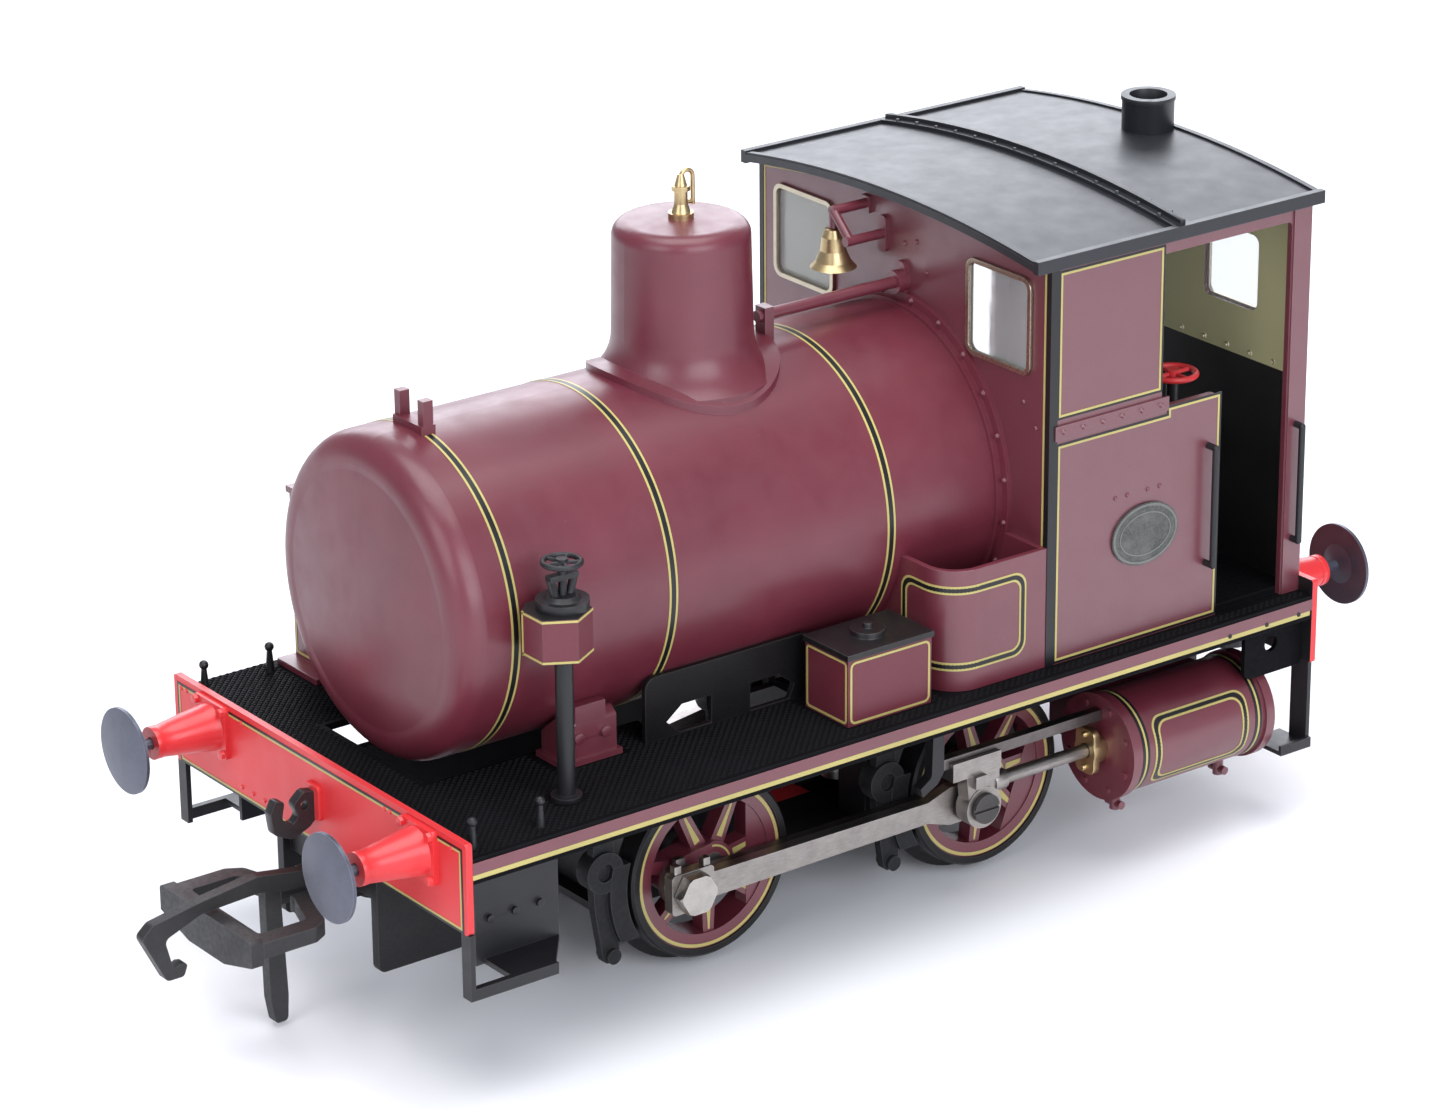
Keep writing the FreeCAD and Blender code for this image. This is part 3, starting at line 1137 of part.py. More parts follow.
def connecting_rod_level():
    """Left connecting rod lying level from the front crankpin back to the crosshead."""
    y0, y1 = CONNECTING_ROD_Y
    xb = AXLE_X + THROW
    xs = xb - CONNECTING_ROD_LENGTH
    z = AXLE_Z
    bar = [(xb - 1.0, z - 0.85), (xb - 1.0, z + 0.85), (xs + 3.4, z + 0.72), (xs + 1.6, z + 1.3, 0.6),
           (xs, z + 1.3), (xs, z - 1.3), (xs + 1.6, z - 1.3, 0.6), (xs + 3.4, z - 0.72)]
    parts = [
        plate_xz(bar, y0, y1),
        rod((xs, y0, z), (xs, y1, z), 1.3),
        plate_xz(rectangle(xb - 1.7, xb + 1.5, z - 1.35, z + 1.35, 0.3), y0, y1),
        box(xb - 1.5, xb - 1.0, y0 + 0.15, y1 - 0.15, z + 1.2, z + 1.85),
        box(xb + 0.7, xb + 1.2, y0 + 0.15, y1 - 0.15, z + 1.2, z + 1.85),
    ]
    body = fuse(parts)
    body = body.cut(rod((xs, y0 - 1, z), (xs, y1 + 1, z), GUDGEON_R))
    return body.cut(rod((xb, y0 - 1, z), (xb, y1 + 1, z), CRANKPIN_R + RUNNING_FIT))


def connecting_rod_right():
    """Right connecting rod, its crankpin at the bottom of the stroke and the rod sloping up to the crosshead."""
    body = mirrored(connecting_rod_level()).translated(vec(-THROW, 0, -THROW))
    slope = math.degrees(math.asin(THROW / CONNECTING_ROD_LENGTH))
    return body.rotated(vec(AXLE_X, 0, AXLE_Z - THROW), vec(0, 1, 0), slope)


def crosshead():
    """Left crosshead: slipper on the slide bar, gudgeon eye, keep bolt and piston rod."""
    y0, y1 = CROSSHEAD_Y
    shoe_top = SLIDE_BAR_Z[0] - RUNNING_FIT
    eye = (GUDGEON_X, AXLE_Z)
    parts = [
        box(-9.3, -5.4, y0, y1, shoe_top - 0.8, shoe_top),
        box(-9.3, -5.4, CYLINDER_Y + 0.4, CYLINDER_Y + 0.7, shoe_top - 0.8, 10.35),
        plate_xz([(-9.3, 7.3), (-8.7, 6.0, 0.4), (-7.0, 6.0, 0.4), (-6.6, 9.3), (-9.3, 9.3)], y0, y1),
        rod((eye[0], y0, eye[1]), (eye[0], y1 + 0.1, eye[1]), 1.4),
        box(-7.9, -7.0, y1 - 0.1, y1 + 0.5, 8.3, 9.15),
        rod((-9.0, CYLINDER_Y, PISTON_Z), (-20.4, CYLINDER_Y, PISTON_Z), PISTON_ROD_R),
        rod((-9.0, CYLINDER_Y, PISTON_Z), (-10.0, CYLINDER_Y, PISTON_Z), 0.7),
    ]
    bore = rod((eye[0], y0 - 1, eye[1]), (eye[0], y1 + 1, eye[1]), GUDGEON_R + RUNNING_FIT)
    return fuse(parts).cut(bore)


def gudgeon_pin():
    """Left gudgeon pin with a slotted head."""
    x, z = GUDGEON_X, AXLE_Z
    y0, y1 = CROSSHEAD_Y
    shank = rod((x, y0, z), (x, y1 + 0.2, z), GUDGEON_R)
    head = rod((x, y1 + 0.15, z), (x, y1 + 0.45, z), 1.0)
    slot = box(x - 1.2, x + 1.2, y1 + 0.33, y1 + 1, z - 0.12, z + 0.12)
    return fuse([shank, head]).cut(slot)


def right_motion(shape):
    """Right-hand copy, half a stroke behind the left."""
    return mirrored(shape).translated(vec(-THROW, 0, 0))


# ---------------------------------------------------------------- couplings
def coupling_arm():
    """Front tension-lock coupling: pivot eye, shank, side arms and bumper bar."""
    z0, z1 = COUPLING_Z
    front = COUPLING_BAR_X
    half = COUPLING_BAR_HALF
    shank = plate_xy([(COUPLING_PIVOT_X, -1.4), (35.0, -1.4), (36.0, -4.6, 0.5), (37.0, -half, 0.4),
                      (front - 0.8, -half, 0.2), (front - 0.8, half, 0.2), (37.0, half, 0.4), (36.0, 4.6, 0.5),
                      (35.0, 1.4), (COUPLING_PIVOT_X, 1.4)], z0, z1)
    window = plate_xy([(35.9, -1.0, 0.2), (36.9, -3.9, 0.3), (front - 1.4, -3.9, 0.3), (front - 1.4, 3.9, 0.3),
                       (36.9, 3.9, 0.3), (35.9, 1.0, 0.2)], z0 - 1, z1 + 1)
    eye = rod((COUPLING_PIVOT_X, 0, z0), (COUPLING_PIVOT_X, 0, z1), 1.7)
    bar = plate_yz([(-half, 7.2), (-2.0, 6.3, 1.0), (2.0, 6.3, 1.0), (half, 7.2), (half, 8.9, 0.3), (-half, 8.9, 0.3)],
                   front - 0.9, front)
    lugs = [box(33.5, 34.5, side * 0.55, side * 1.1, z1 - 0.2, 9.6) for side in (1, -1)]
    body = fuse([shank.cut(window), eye, bar])
    slot = box(32.9, 36.2, -0.5, 0.5, z0 - 1, z1 + 1)
    body = body.cut(rod((COUPLING_PIVOT_X, 0, 6), (COUPLING_PIVOT_X, 0, 10), 0.7 + RUNNING_FIT)).cut(slot)
    body = fuse([body] + lugs)
    hx, hz = HOOK_PIVOT
    return body.cut(rod((hx, -2, hz), (hx, 2, hz), 0.25 + RUNNING_FIT))


def coupling_hook():
    """Front coupling hook with its dropper, on a cross pin."""
    hx, hz = HOOK_PIVOT
    hook = plate_xz(
        [(hx - 0.7, 8.7, 0.3), (hx - 0.5, 9.7, 0.3), (38.0, 10.4, 1.0), (42.0, 9.9, 1.0), (45.4, 9.3, 0.5),
         (46.2, 8.6, 0.4), (44.6, 5.4, 0.4), (43.4, 5.4, 0.3), (43.1, 6.2, 0.2), (43.6, 6.3, 0.15),
         (44.1, 6.1, 0.2), (44.6, 8.1, 0.4), (42.0, 9.1, 0.6), (38.0, 9.3, 0.6), (36.0, 8.9, 0.4)],
        -0.4, 0.4)
    dropper = plate_xz([(36.5, 9.8), (37.6, 9.8), (37.5, 2.0), (37.2, 0.3, 0.3), (36.3, 0.3, 0.3), (36.2, 2.0)],
                       -0.4, 0.4)
    pin = rod((hx, -1.1, hz), (hx, 1.1, hz), 0.25)
    return fuse([hook, dropper, pin])


# ---------------------------------------------------------------- write the parts
def write(name, solids):
    if not isinstance(solids, list):
        solids = [solids]
    flat = []
    for shape in solids:
        flat += shape.Solids
    shape = flat[0] if len(flat) == 1 else Part.makeCompound(flat)
    shape.exportStep(os.path.join("parts", name + ".step"))


def main():
    os.makedirs("parts", exist_ok=True)
    write("main_frames", main_frames())
    write("keeper_plate", keeper_plate())
    write("brake_gear", brake_gear())
    write("footplate", footplate())
    write("buffer_beams", buffer_beams())
    write("buffer_housings", buffer_housings())
    write("buffer_front_left", buffer_plunger(BUFFER_Y))
    write("buffer_front_right", buffer_plunger(-BUFFER_Y))
    write("buffer_rear_left", swapped_ends(buffer_plunger(-BUFFER_Y)))
    write("buffer_rear_right", swapped_ends(buffer_plunger(BUFFER_Y)))
    write("drawhooks", drawhooks())
    write("steps", steps())
    write("stanchions", stanchions())
    write("reservoir", [reservoir_shell(), mounting_ring(), lamp_bracket()])
    write("dome", dome())
    write("safety_valve", safety_valve())
    write("steam_pipe", steam_pipe())
    write("bell_bracket", bell_bracket())
    write("bell", bell())
    write("cab_front_sheet", cab_front_sheet())
    write("cab_sides", cab_sides())
    write("cab_rear_sheet", cab_rear_sheet())
    write("cab_roof", [cab_roof(), roof_vent()])
    write("cab_floor", cab_floor())
    write("window_frames", window_frames())
    write("window_glazing", window_glazing())
    write("cab_handrails", cab_handrails())
    write("maker_plates", maker_plates())
    write("hand_brake", hand_brake())
    write("bunkers", bunkers())
    write("sandboxes", sandboxes())
    write("charging_column", charging_column())
    write("charging_valve_box", charging_valve_box())
    write("locker", locker())
    write("valve_castings", valve_castings())
    write("cylinders", cylinders())
    write("cylinder_glands", cylinder_glands())
    write("slide_bars", slide_bars())
    write("motion_brackets", motion_brackets())
    write("motor", motor())
    write("worm_shaft", worm_shaft())
    write("axle_gear", axle_gear())
    write("front_wheel_centres", wheel_pair(AXLE_X, SPOKE_PHASE_FRONT, 180))
    write("front_tyres", tyres(AXLE_X))
    write("front_axle", front_axle())
    write("rear_wheel_centres", wheel_pair(-AXLE_X, SPOKE_PHASE_REAR, 200))
    write("rear_tyres", tyres(-AXLE_X))
    write("rear_axle", rear_axle())
    write("coupling_rod_left", coupling_rod_left())
    write("coupling_rod_right", coupling_rod_right())
    write("connecting_rod_left", connecting_rod_level())
    write("connecting_rod_right", connecting_rod_right())
    write("crosshead_left", crosshead())
    write("crosshead_right", right_motion(crosshead()))
    write("gudgeon_pin_left", gudgeon_pin())
    write("gudgeon_pin_right", right_motion(gudgeon_pin()))
    write("front_coupling", coupling_arm())
    write("front_coupling_hook", coupling_hook())
    write("rear_coupling", swapped_ends(coupling_arm()))
    write("rear_coupling_hook", swapped_ends(coupling_hook()))


main()
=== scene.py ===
"""Looks of a four-wheeled reservoir locomotive model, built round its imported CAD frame.

Places and sizes are in millimetres in the row frame and become metres when a mesh is made.
"""

import bpy
import json
import math
from mathutils import Matrix, Vector


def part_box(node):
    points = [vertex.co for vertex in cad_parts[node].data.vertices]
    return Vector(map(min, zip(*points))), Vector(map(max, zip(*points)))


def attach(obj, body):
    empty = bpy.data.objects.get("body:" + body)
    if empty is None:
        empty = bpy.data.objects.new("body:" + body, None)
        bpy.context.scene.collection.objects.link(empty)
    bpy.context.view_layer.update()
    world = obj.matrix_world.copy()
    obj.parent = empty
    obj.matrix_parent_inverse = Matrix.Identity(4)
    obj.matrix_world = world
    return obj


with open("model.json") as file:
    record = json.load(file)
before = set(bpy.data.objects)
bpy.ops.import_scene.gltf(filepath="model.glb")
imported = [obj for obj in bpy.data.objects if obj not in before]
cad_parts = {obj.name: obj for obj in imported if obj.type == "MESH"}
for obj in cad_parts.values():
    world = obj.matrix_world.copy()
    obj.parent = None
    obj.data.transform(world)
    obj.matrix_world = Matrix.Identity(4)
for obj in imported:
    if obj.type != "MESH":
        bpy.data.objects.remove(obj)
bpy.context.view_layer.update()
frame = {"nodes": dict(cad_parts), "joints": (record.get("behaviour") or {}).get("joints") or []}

MM = 0.001

# ---------------------------------------------------------------- painted lines and small details (mm)
PAINT_PROUD = 0.025
PAINT_SUNK = 0.03
LINE_W = 0.15
BAND_BLACK_W = 0.34
LINE_GAP_W = 0.25
FINE_LINE_W = 0.14
VALANCE_LINE_W = 0.3
VALANCE_LINE_Z = 14.76
VALANCE_STRIP_Z = (14.93, 15.68)
BAND_X = (25.6, 14.1, -2.64)
CHEQUER_PITCH = 0.5
CHEQUER_H = 0.07
EDGE_BEVEL = 0.05
BEVEL_ANGLE = 38
WELD_GAP = 0.0005
FLAT_ANGLE = 0.6
EDGE_INSET = 0.22
RIVET_H = 0.14
PLATE_RIM = (0.16, 0.14)
PLATE_INNER_LINE = (0.66, 0.07)
SMOOTH_ANGLE = 40
NODE_SMOOTH_ANGLE = 32

# parts of the CAD pieces that their boxes alone don't give (mm)
TANK_BELOW_DOME_TOP = 19.35
TANK_R = 10.29
CYLINDER_Y = 12.5
CYLINDER_Z = 8.0
CYLINDER_R = 3.4
CYLINDER_ENDS_X = (-30.2, -18.0)
LID_OVERHANG = 0.12
SANDBOX_DEPTH = 4.3
SANDBOX_TOP = 20.35
LOCKER_Y = (-11.2, -15.3)
LOCKER_TOP = 27.35
EAVE_Z = 42.2
ROOF_HALF = 15.0
ROOF_EAVE_Z = 42.75
ROOF_CROWN_Z = 43.95
ROOF_RIB_X = -22.2
CAB_DADO_Z = 30.6
PANEL_REAR_X = -20.8
ENTRY_FRONT_X = -25.9
BUNKER_CORNER_R = 2.4
BUFFER_Y = 11.5
BUFFER_Z = 15.03
BRAKE_RED_Z = 31.22
HOOK_PLATE = 0.31
RED_PATCH_X = 5.0
RED_PATCH_Y = -1.0
WHEEL_FACE_Y = 9.3
WHEEL_RIM_Y = 9.45
WHEEL_HUB_Y = 9.65
RIM_RING_R = (5.16, 5.37)
HUB_RING_R = (1.37, 1.5)
SPOKES = 7
SPOKE_LINE = ((1.95, 0.22), (4.35, 0.06))
SPOKE_PHASE_FRONT = 13.0
SPOKE_PHASE_REAR = 21.0

# where the footplate has no chequer: the well under the reservoir, its wider part, the valve castings;
# each from x, to x, and how far out on both sides (mm)
BARE_AREAS = (
    (-11.6, 29.5, 5.9),
    (2.8, 13.9, 8.7),
    (16.7, 22.0, 9.4),
)
BOX_INNER_Y = 7.0
BARE_MARGIN = 0.2
COLUMN_FOOT = (23.7, 12.4)
COLUMN_FOOT_R = 1.3

# studio: places and sizes in mm, power in W
LIT_POINT = (0, 0, 20)
SOFTBOXES = (
    ("top_softbox", (20, 30, 420), (420, 320), 1.7, (1, 1, 1)),
    ("back_softbox", (-230, -310, 190), (460, 260), 1.55, (0.9, 0.93, 1.0)),
    ("left_softbox", (40, 420, 190), (360, 260), 1.35, (0.9, 0.93, 1.0)),
    ("front_softbox", (420, 120, 220), (260, 260), 0.7, (0.94, 0.96, 1.0)),
)
SKY_COLOUR = (0.88, 0.92, 1.0, 1.0)
SKY_STRENGTH = 0.4
SHEET_HALF = 3000.0
CAMERA_PLACE = (179.19, 236.33, 139.34)
CAMERA_FORWARD = (-0.55618, -0.74496, -0.36837)
CAMERA_ROLL = 0.46
CAMERA_LENS = 125.35


# ---------------------------------------------------------------- reading the frame
class Box:
    """A CAD node's box at rest, in mm."""

    def __init__(self, node):
        low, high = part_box(node)
        self.x0, self.y0, self.z0 = [v / MM for v in low]
        self.x1, self.y1, self.z1 = [v / MM for v in high]


def pivot(joint):
    """A joint's pivot, in mm."""
    for j in frame["joints"]:
        if j["name"] == joint:
            return Vector(j["pos_m"]) / MM
    raise KeyError(joint)


FOOTPLATE = Box("footplate")
CAB_FRONT = Box("cab_front_sheet")
CAB_SIDES = Box("cab_sides")
CAB_REAR = Box("cab_rear_sheet")
ROOF = Box("cab_roof")
BEAMS = Box("buffer_beams")
BUNKERS = Box("bunkers")
SANDBOXES = Box("sandboxes")
LOCKER = Box("locker")
VALVE_BOX = Box("charging_valve_box")
PLATES = Box("maker_plates")
FRONT_AXLE = pivot("front_axle_turn")
REAR_AXLE = pivot("rear_axle_turn")

FLOOR_Z = FOOTPLATE.z1
TANK_Z = Box("dome").z1 - TANK_BELOW_DOME_TOP
CAB_SIDE_FACE = CAB_FRONT.y1


# ---------------------------------------------------------------- mesh building
class Shape:
    """Collects vertices (mm) and faces of one piece."""

    def __init__(self):
        self.verts = []
        self.faces = []

    def point(self, v):
        self.verts.append(tuple(v))
        return len(self.verts) - 1

    def ring(self, points):
        return [self.point(p) for p in points]

    def bridge(self, a, b, closed=True):
        n = len(a)
        for i in range(n if closed else n - 1):
            j = (i + 1) % n
            self.faces.append((a[i], a[j], b[j], b[i]))

    def cap(self, ring, flip=False):
        self.faces.append(tuple(reversed(ring)) if flip else tuple(ring))

    def slab(self, x0, x1, y0, y1, z0, z1):
        """Closed box."""
        low = self.ring([(x0, y0, z0), (x1, y0, z0), (x1, y1, z0), (x0, y1, z0)])
        high = self.ring([(x0, y0, z1), (x1, y0, z1), (x1, y1, z1), (x0, y1, z1)])
        self.cap(low, True)
        self.cap(high)
        self.bridge(low, high)

    def lathe(self, origin, axis, profile, segments):
        """Turns a closed loop of (radius, distance along axis) about an axis."""
        origin, axis = Vector(origin), Vector(axis).normalized()
        side = axis.orthogonal().normalized()
        other = axis.cross(side)
        rings = []
        for k in range(segments):
            a = 2 * math.pi * k / segments
            out = side * math.cos(a) + other * math.sin(a)
            rings.append(self.ring([origin + out * r + axis * t for r, t in profile]))
        for k in range(segments):
            self.bridge(rings[k], rings[(k + 1) % segments])

    def stud(self, base, normal, radius, height, segments=10):
        """Domed rivet head that starts just below the surface."""
        base, axis = Vector(base), Vector(normal).normalized()
        side = axis.orthogonal().normalized()
        other = axis.cross(side)
        rings = []
        for share, lift in ((1.0, -0.05), (1.0, 0.25 * height), (0.72, 0.78 * height)):
            rings.append(self.ring([
                base + axis * lift + (side * math.cos(a) + other * math.sin(a)) * radius * share
                for a in (2 * math.pi * k / segments for k in range(segments))]))
        top = self.point(base + axis * height)
        self.cap(rings[0], True)
        self.bridge(rings[0], rings[1])
        self.bridge(rings[1], rings[2])
        for i in range(segments):
            self.faces.append((rings[2][i], rings[2][(i + 1) % segments], top))

    def line(self, surface, outline, width, closed=True):
        """Paint line along an outline in a surface's own (u, v), as wide as width."""
        left, right = offset(outline, width / 2, closed), offset(outline, -width / 2, closed)
        rails = []
        for uv in (left, right):
            for lift in (-PAINT_SUNK, PAINT_PROUD):
                rails.append([])
                for u, v in uv:
                    p, n = surface(u, v)
                    rails[-1].append(self.point(Vector(p) + Vector(n) * lift))
        low_l, high_l, low_r, high_r = rails
        for a, b in ((high_l, high_r), (high_r, low_r), (low_r, low_l), (low_l, high_l)):
            self.bridge(a, b, closed)
        if not closed:
            self.cap([low_l[0], high_l[0], high_r[0], low_r[0]], True)
            self.cap([low_l[-1], high_l[-1], high_r[-1], low_r[-1]])

    def mirrored_y(self):
        """Adds the same shape on the other side."""
        base, count = len(self.verts), len(self.faces)
        self.verts += [(x, -y, z) for x, y, z in self.verts]
        self.faces += [tuple(base + i for i in reversed(f)) for f in self.faces[:count]]

    def turned(self, matrix):
        """A copy of this shape moved by a matrix in mm."""
        copy = Shape()
        copy.verts = [tuple(matrix @ Vector(v)) for v in self.verts]
        flip = matrix.determinant() < 0
        copy.faces = [tuple(reversed(f)) if flip else f for f in self.faces]
        return copy

    def add(self, other):
        base = len(self.verts)
        self.verts += other.verts
        self.faces += [tuple(base + i for i in f) for f in other.faces]


def offset(outline, distance, closed):
    """Outline moved sideways by distance, with mitred corners."""
    n = len(outline)
    moved = []
    for i in range(n):
        p = Vector(outline[i])
        before = Vector(outline[i - 1]) if closed or i > 0 else None
        after = Vector(outline[(i + 1) % n]) if closed or i < n - 1 else None
        normals = []
        for a, b in ((before, p), (p, after)):
            if a is not None and b is not None:
                d = (b - a).normalized()
                normals.append(Vector((-d.y, d.x)))
        mid = sum(normals, Vector((0, 0))).normalized()
        moved.append(p + mid * distance / max(mid.dot(normals[0]), 0.3))
    return moved


def rounded(corners, steps=6):
    """Outline from corners (u, v, radius), each corner an arc."""
    outline = []
    for i, (u, v, r) in enumerate(corners):
        here = Vector((u, v))
        if r == 0:
            outline.append(here)
            continue
        to_before = (Vector(corners[i - 1][:2]) - here).normalized()
        to_after = (Vector(corners[(i + 1) % len(corners)][:2]) - here).normalized()
        half = to_before.angle(to_after) / 2
        centre = here + (to_before + to_after).normalized() * (r / math.sin(half))
        start = here + to_before * (r / math.tan(half)) - centre
        end = here + to_after * (r / math.tan(half)) - centre
        turn = start.angle_signed(end)
        for k in range(steps + 1):
            outline.append(centre + Matrix.Rotation(-turn * k / steps, 2) @ start)
    return outline


def rect(u0, u1, v0, v1, r=0.0):
    return rounded([(u0, v0, r), (u1, v0, r), (u1, v1, r), (u0, v1, r)])


def side_plane(y):
    """Surface of an upright plane facing +Y or -Y, with (u, v) = (x, z)."""
    return lambda u, v: ((u, y, v), (0, math.copysign(1, y), 0))


def end_plane(x, sign):
    """Surface of an upright plane facing along X, with (u, v) = (y, z)."""
    return lambda u, v: ((x, u, v), (sign, 0, 0))


def make(name, shape, material, body="chassis"):
    """Turns a shape into a piece that rides on a body."""
    mesh = bpy.data.meshes.new(name)
    mesh.from_pydata([Vector(v) * MM for v in shape.verts], [], shape.faces)
    mesh.validate()
    mesh.materials.append(material)
    piece = bpy.data.objects.new(name, mesh)
    bpy.context.scene.collection.objects.link(piece)
    mesh.polygons.foreach_set("use_smooth", [True] * len(mesh.polygons))
    add_smoothing(piece, SMOOTH_ANGLE)
    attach(piece, body)


def add_bevel(piece, width):
    mod = piece.modifiers.new("edges", "BEVEL")
    mod.width = width * MM
    mod.segments = 2
    mod.limit_method = "ANGLE"
    mod.angle_limit = math.radians(BEVEL_ANGLE)
    mod.use_clamp_overlap = True


def smoothing_group():
    """Geometry nodes that smooth every edge flatter than an angle."""
    group = bpy.data.node_groups.new("smooth_by_edge", "GeometryNodeTree")
    group.interface.new_socket("Geometry", in_out="INPUT", socket_type="NodeSocketGeometry")
    group.interface.new_socket("Angle", in_out="INPUT", socket_type="NodeSocketFloat")
    group.interface.new_socket("Geometry", in_out="OUTPUT", socket_type="NodeSocketGeometry")
    nodes, link = group.nodes, group.links.new
    source = nodes.new("NodeGroupInput")
    free = nodes.new("GeometryNodeSetMeshNormal")
    free.mode = "SHARPNESS"
    angle = nodes.new("GeometryNodeInputMeshEdgeAngle")
    flat = nodes.new("FunctionNodeCompare")
    flat.operation = "LESS_EQUAL"
    link(source.outputs["Geometry"], free.inputs["Mesh"])
    link(angle.outputs["Unsigned Angle"], flat.inputs[0])
    link(source.outputs["Angle"], flat.inputs[1])
    sharp = nodes.new("FunctionNodeBooleanMath")
    sharp.operation = "NOT"
    link(flat.outputs[0], sharp.inputs[0])
    link(sharp.outputs[0], free.inputs["Edge Sharpness"])
    result = nodes.new("NodeGroupOutput")
    link(free.outputs[0], result.inputs["Geometry"])
    return group


SMOOTHING = smoothing_group()


def add_smoothing(piece, degrees):
    mod = piece.modifiers.new("smooth", "NODES")
    mod.node_group = SMOOTHING
    for item in SMOOTHING.interface.items_tree:
        if item.name == "Angle":
            mod[item.identifier] = math.radians(degrees)


# ---------------------------------------------------------------- materials
class Look:
    """A procedural material in the piece's own coordinates."""

    def __init__(self, name):
        self.material = bpy.data.materials.new(name)
        self.material.use_nodes = True
        self.nodes = self.material.node_tree.nodes
        self.links = self.material.node_tree.links
        self.shader = self.nodes["Principled BSDF"]
        self.coords = self.nodes.new("ShaderNodeTexCoord").outputs["Object"]

    def link(self, out, into):
        self.links.new(out, into)

    def stretched(self, sx, sy, sz):
        """Coordinates scaled along each axis."""
        node = self.nodes.new("ShaderNodeMapping")
        node.inputs["Scale"].default_value = (sx, sy, sz)
        self.link(self.coords, node.inputs["Vector"])
        return node.outputs[0]

    def noise(self, size_mm, detail, rough=0.55, coords=None):
        node = self.nodes.new("ShaderNodeTexNoise")
        node.inputs["Scale"].default_value = 1.0 / (size_mm * MM)
        node.inputs["Detail"].default_value = detail
        node.inputs["Roughness"].default_value = rough
        self.link(coords or self.coords, node.inputs["Vector"])
        return node.outputs["Fac"]

    def ramp(self, value, from_low, from_high, to_low, to_high):
        node = self.nodes.new("ShaderNodeMapRange")
        limits = {"From Min": from_low, "From Max": from_high, "To Min": to_low, "To Max": to_high}
        for key, number in limits.items():
            node.inputs[key].default_value = number
        self.link(value, node.inputs["Value"])
        return node.outputs[0]

    def maths(self, operation, a, b=None):
        node = self.nodes.new("ShaderNodeMath")
        node.operation = operation
        for socket, value in zip(node.inputs, (a, b)):
            if isinstance(value, (int, float)):
                socket.default_value = value
            elif value is not None:
                self.link(value, socket)
        return node.outputs[0]

    def mix(self, factor, a, b):
        """Colour between a and b, each an RGB triple or a socket."""
        node = self.nodes.new("ShaderNodeMix")
        node.data_type = "RGBA"
        self.link(factor, node.inputs["Factor"])
        for key, value in (("A", a), ("B", b)):
            socket = [s for s in node.inputs if s.name == key and s.type == "RGBA"][0]
            if isinstance(value, tuple):
                socket.default_value = (*value, 1.0)
            else:
                self.link(value, socket)
        return [s for s in node.outputs if s.type == "RGBA"][0]

    def edges(self, radius_mm, low=0.01, high=0.12):
        """Mask that is 1 on edges and 0 on flats, used for the painted edge highlights."""
        bevel = self.nodes.new("ShaderNodeBevel")
        bevel.samples = 4
        bevel.inputs["Radius"].default_value = radius_mm * MM
        geometry = self.nodes.new("ShaderNodeNewGeometry")
        dot = self.nodes.new("ShaderNodeVectorMath")
        dot.operation = "DOT_PRODUCT"
        self.link(bevel.outputs[0], dot.inputs[0])
        self.link(geometry.outputs["Normal"], dot.inputs[1])
        away = self.maths("SUBTRACT", 1.0, dot.outputs["Value"])
        return self.ramp(away, low, high, 0.0, 1.0)

    def bump(self, height, strength, distance_mm, under=None):
        node = self.nodes.new("ShaderNodeBump")
        node.inputs["Strength"].default_value = strength
        node.inputs["Distance"].default_value = distance_mm * MM
        self.link(height, node.inputs["Height"])
        if under is not None:
            self.link(under, node.inputs["Normal"])
        return node.outputs[0]

    def axis(self, index):
        """One object coordinate, in mm."""
        node = self.nodes.new("ShaderNodeSeparateXYZ")
        self.link(self.coords, node.inputs[0])
        return self.maths("MULTIPLY", node.outputs[index], 1.0 / MM)

    def facing(self, index):
        """One component of the surface's own normal."""
        coords = self.nodes.new("ShaderNodeTexCoord")
        node = self.nodes.new("ShaderNodeSeparateXYZ")
        self.link(coords.outputs["Normal"], node.inputs[0])
        return node.outputs[index]

    def above(self, value, level):
        return self.maths("GREATER_THAN", value, level)

    def both(self, a, b):
        return self.maths("MULTIPLY", a, b)

    def set_base(self, colour):
        self.link(colour, self.shader.inputs["Base Color"])

    def set_normal(self, normal):
        self.link(normal, self.shader.inputs["Normal"])


def lighter(colour, k):
    """Colour times a factor."""
    return tuple(min(1.0, c * k) for c in colour)


def toward(colour, other, share):
    """Colour part of the way to another."""
    return tuple(a + (b - a) * share for a, b in zip(colour, other))


def paint_colour(look, colour, edge_highlight_level):
    """Sprayed paint: slow tone shifts, a fine grain, pale edges that are a painted edge highlight, and a
    little dust.
    """
    slow = look.ramp(look.noise(6.0, 2.0), 0.3, 0.7, 0.0, 1.0)
    tone = look.mix(slow, lighter(colour, 0.9), lighter(colour, 1.1))
    grain = look.ramp(look.noise(0.12, 2.0), 0.35, 0.75, 0.0, 0.22)
    tone = look.mix(grain, tone, lighter(colour, 1.45))
    specks = look.ramp(look.noise(0.5, 6.0, 0.75), 0.66, 0.78, 0.0, 0.2)
    tone = look.mix(specks, tone, toward(colour, (0.6, 0.58, 0.55), 0.35))
    if edge_highlight_level:
        # paler edges, broken up by noise: a painted edge highlight
        broken = look.ramp(look.noise(0.7, 4.0, 0.7), 0.3, 0.65, 0.25, 1.0)
        edge_highlight_strength = look.maths("MULTIPLY", look.both(look.edges(0.09), broken), edge_highlight_level)
        tone = look.mix(edge_highlight_strength, tone, toward(lighter(colour, 1.5), (0.6, 0.55, 0.52), 0.3))
    return tone


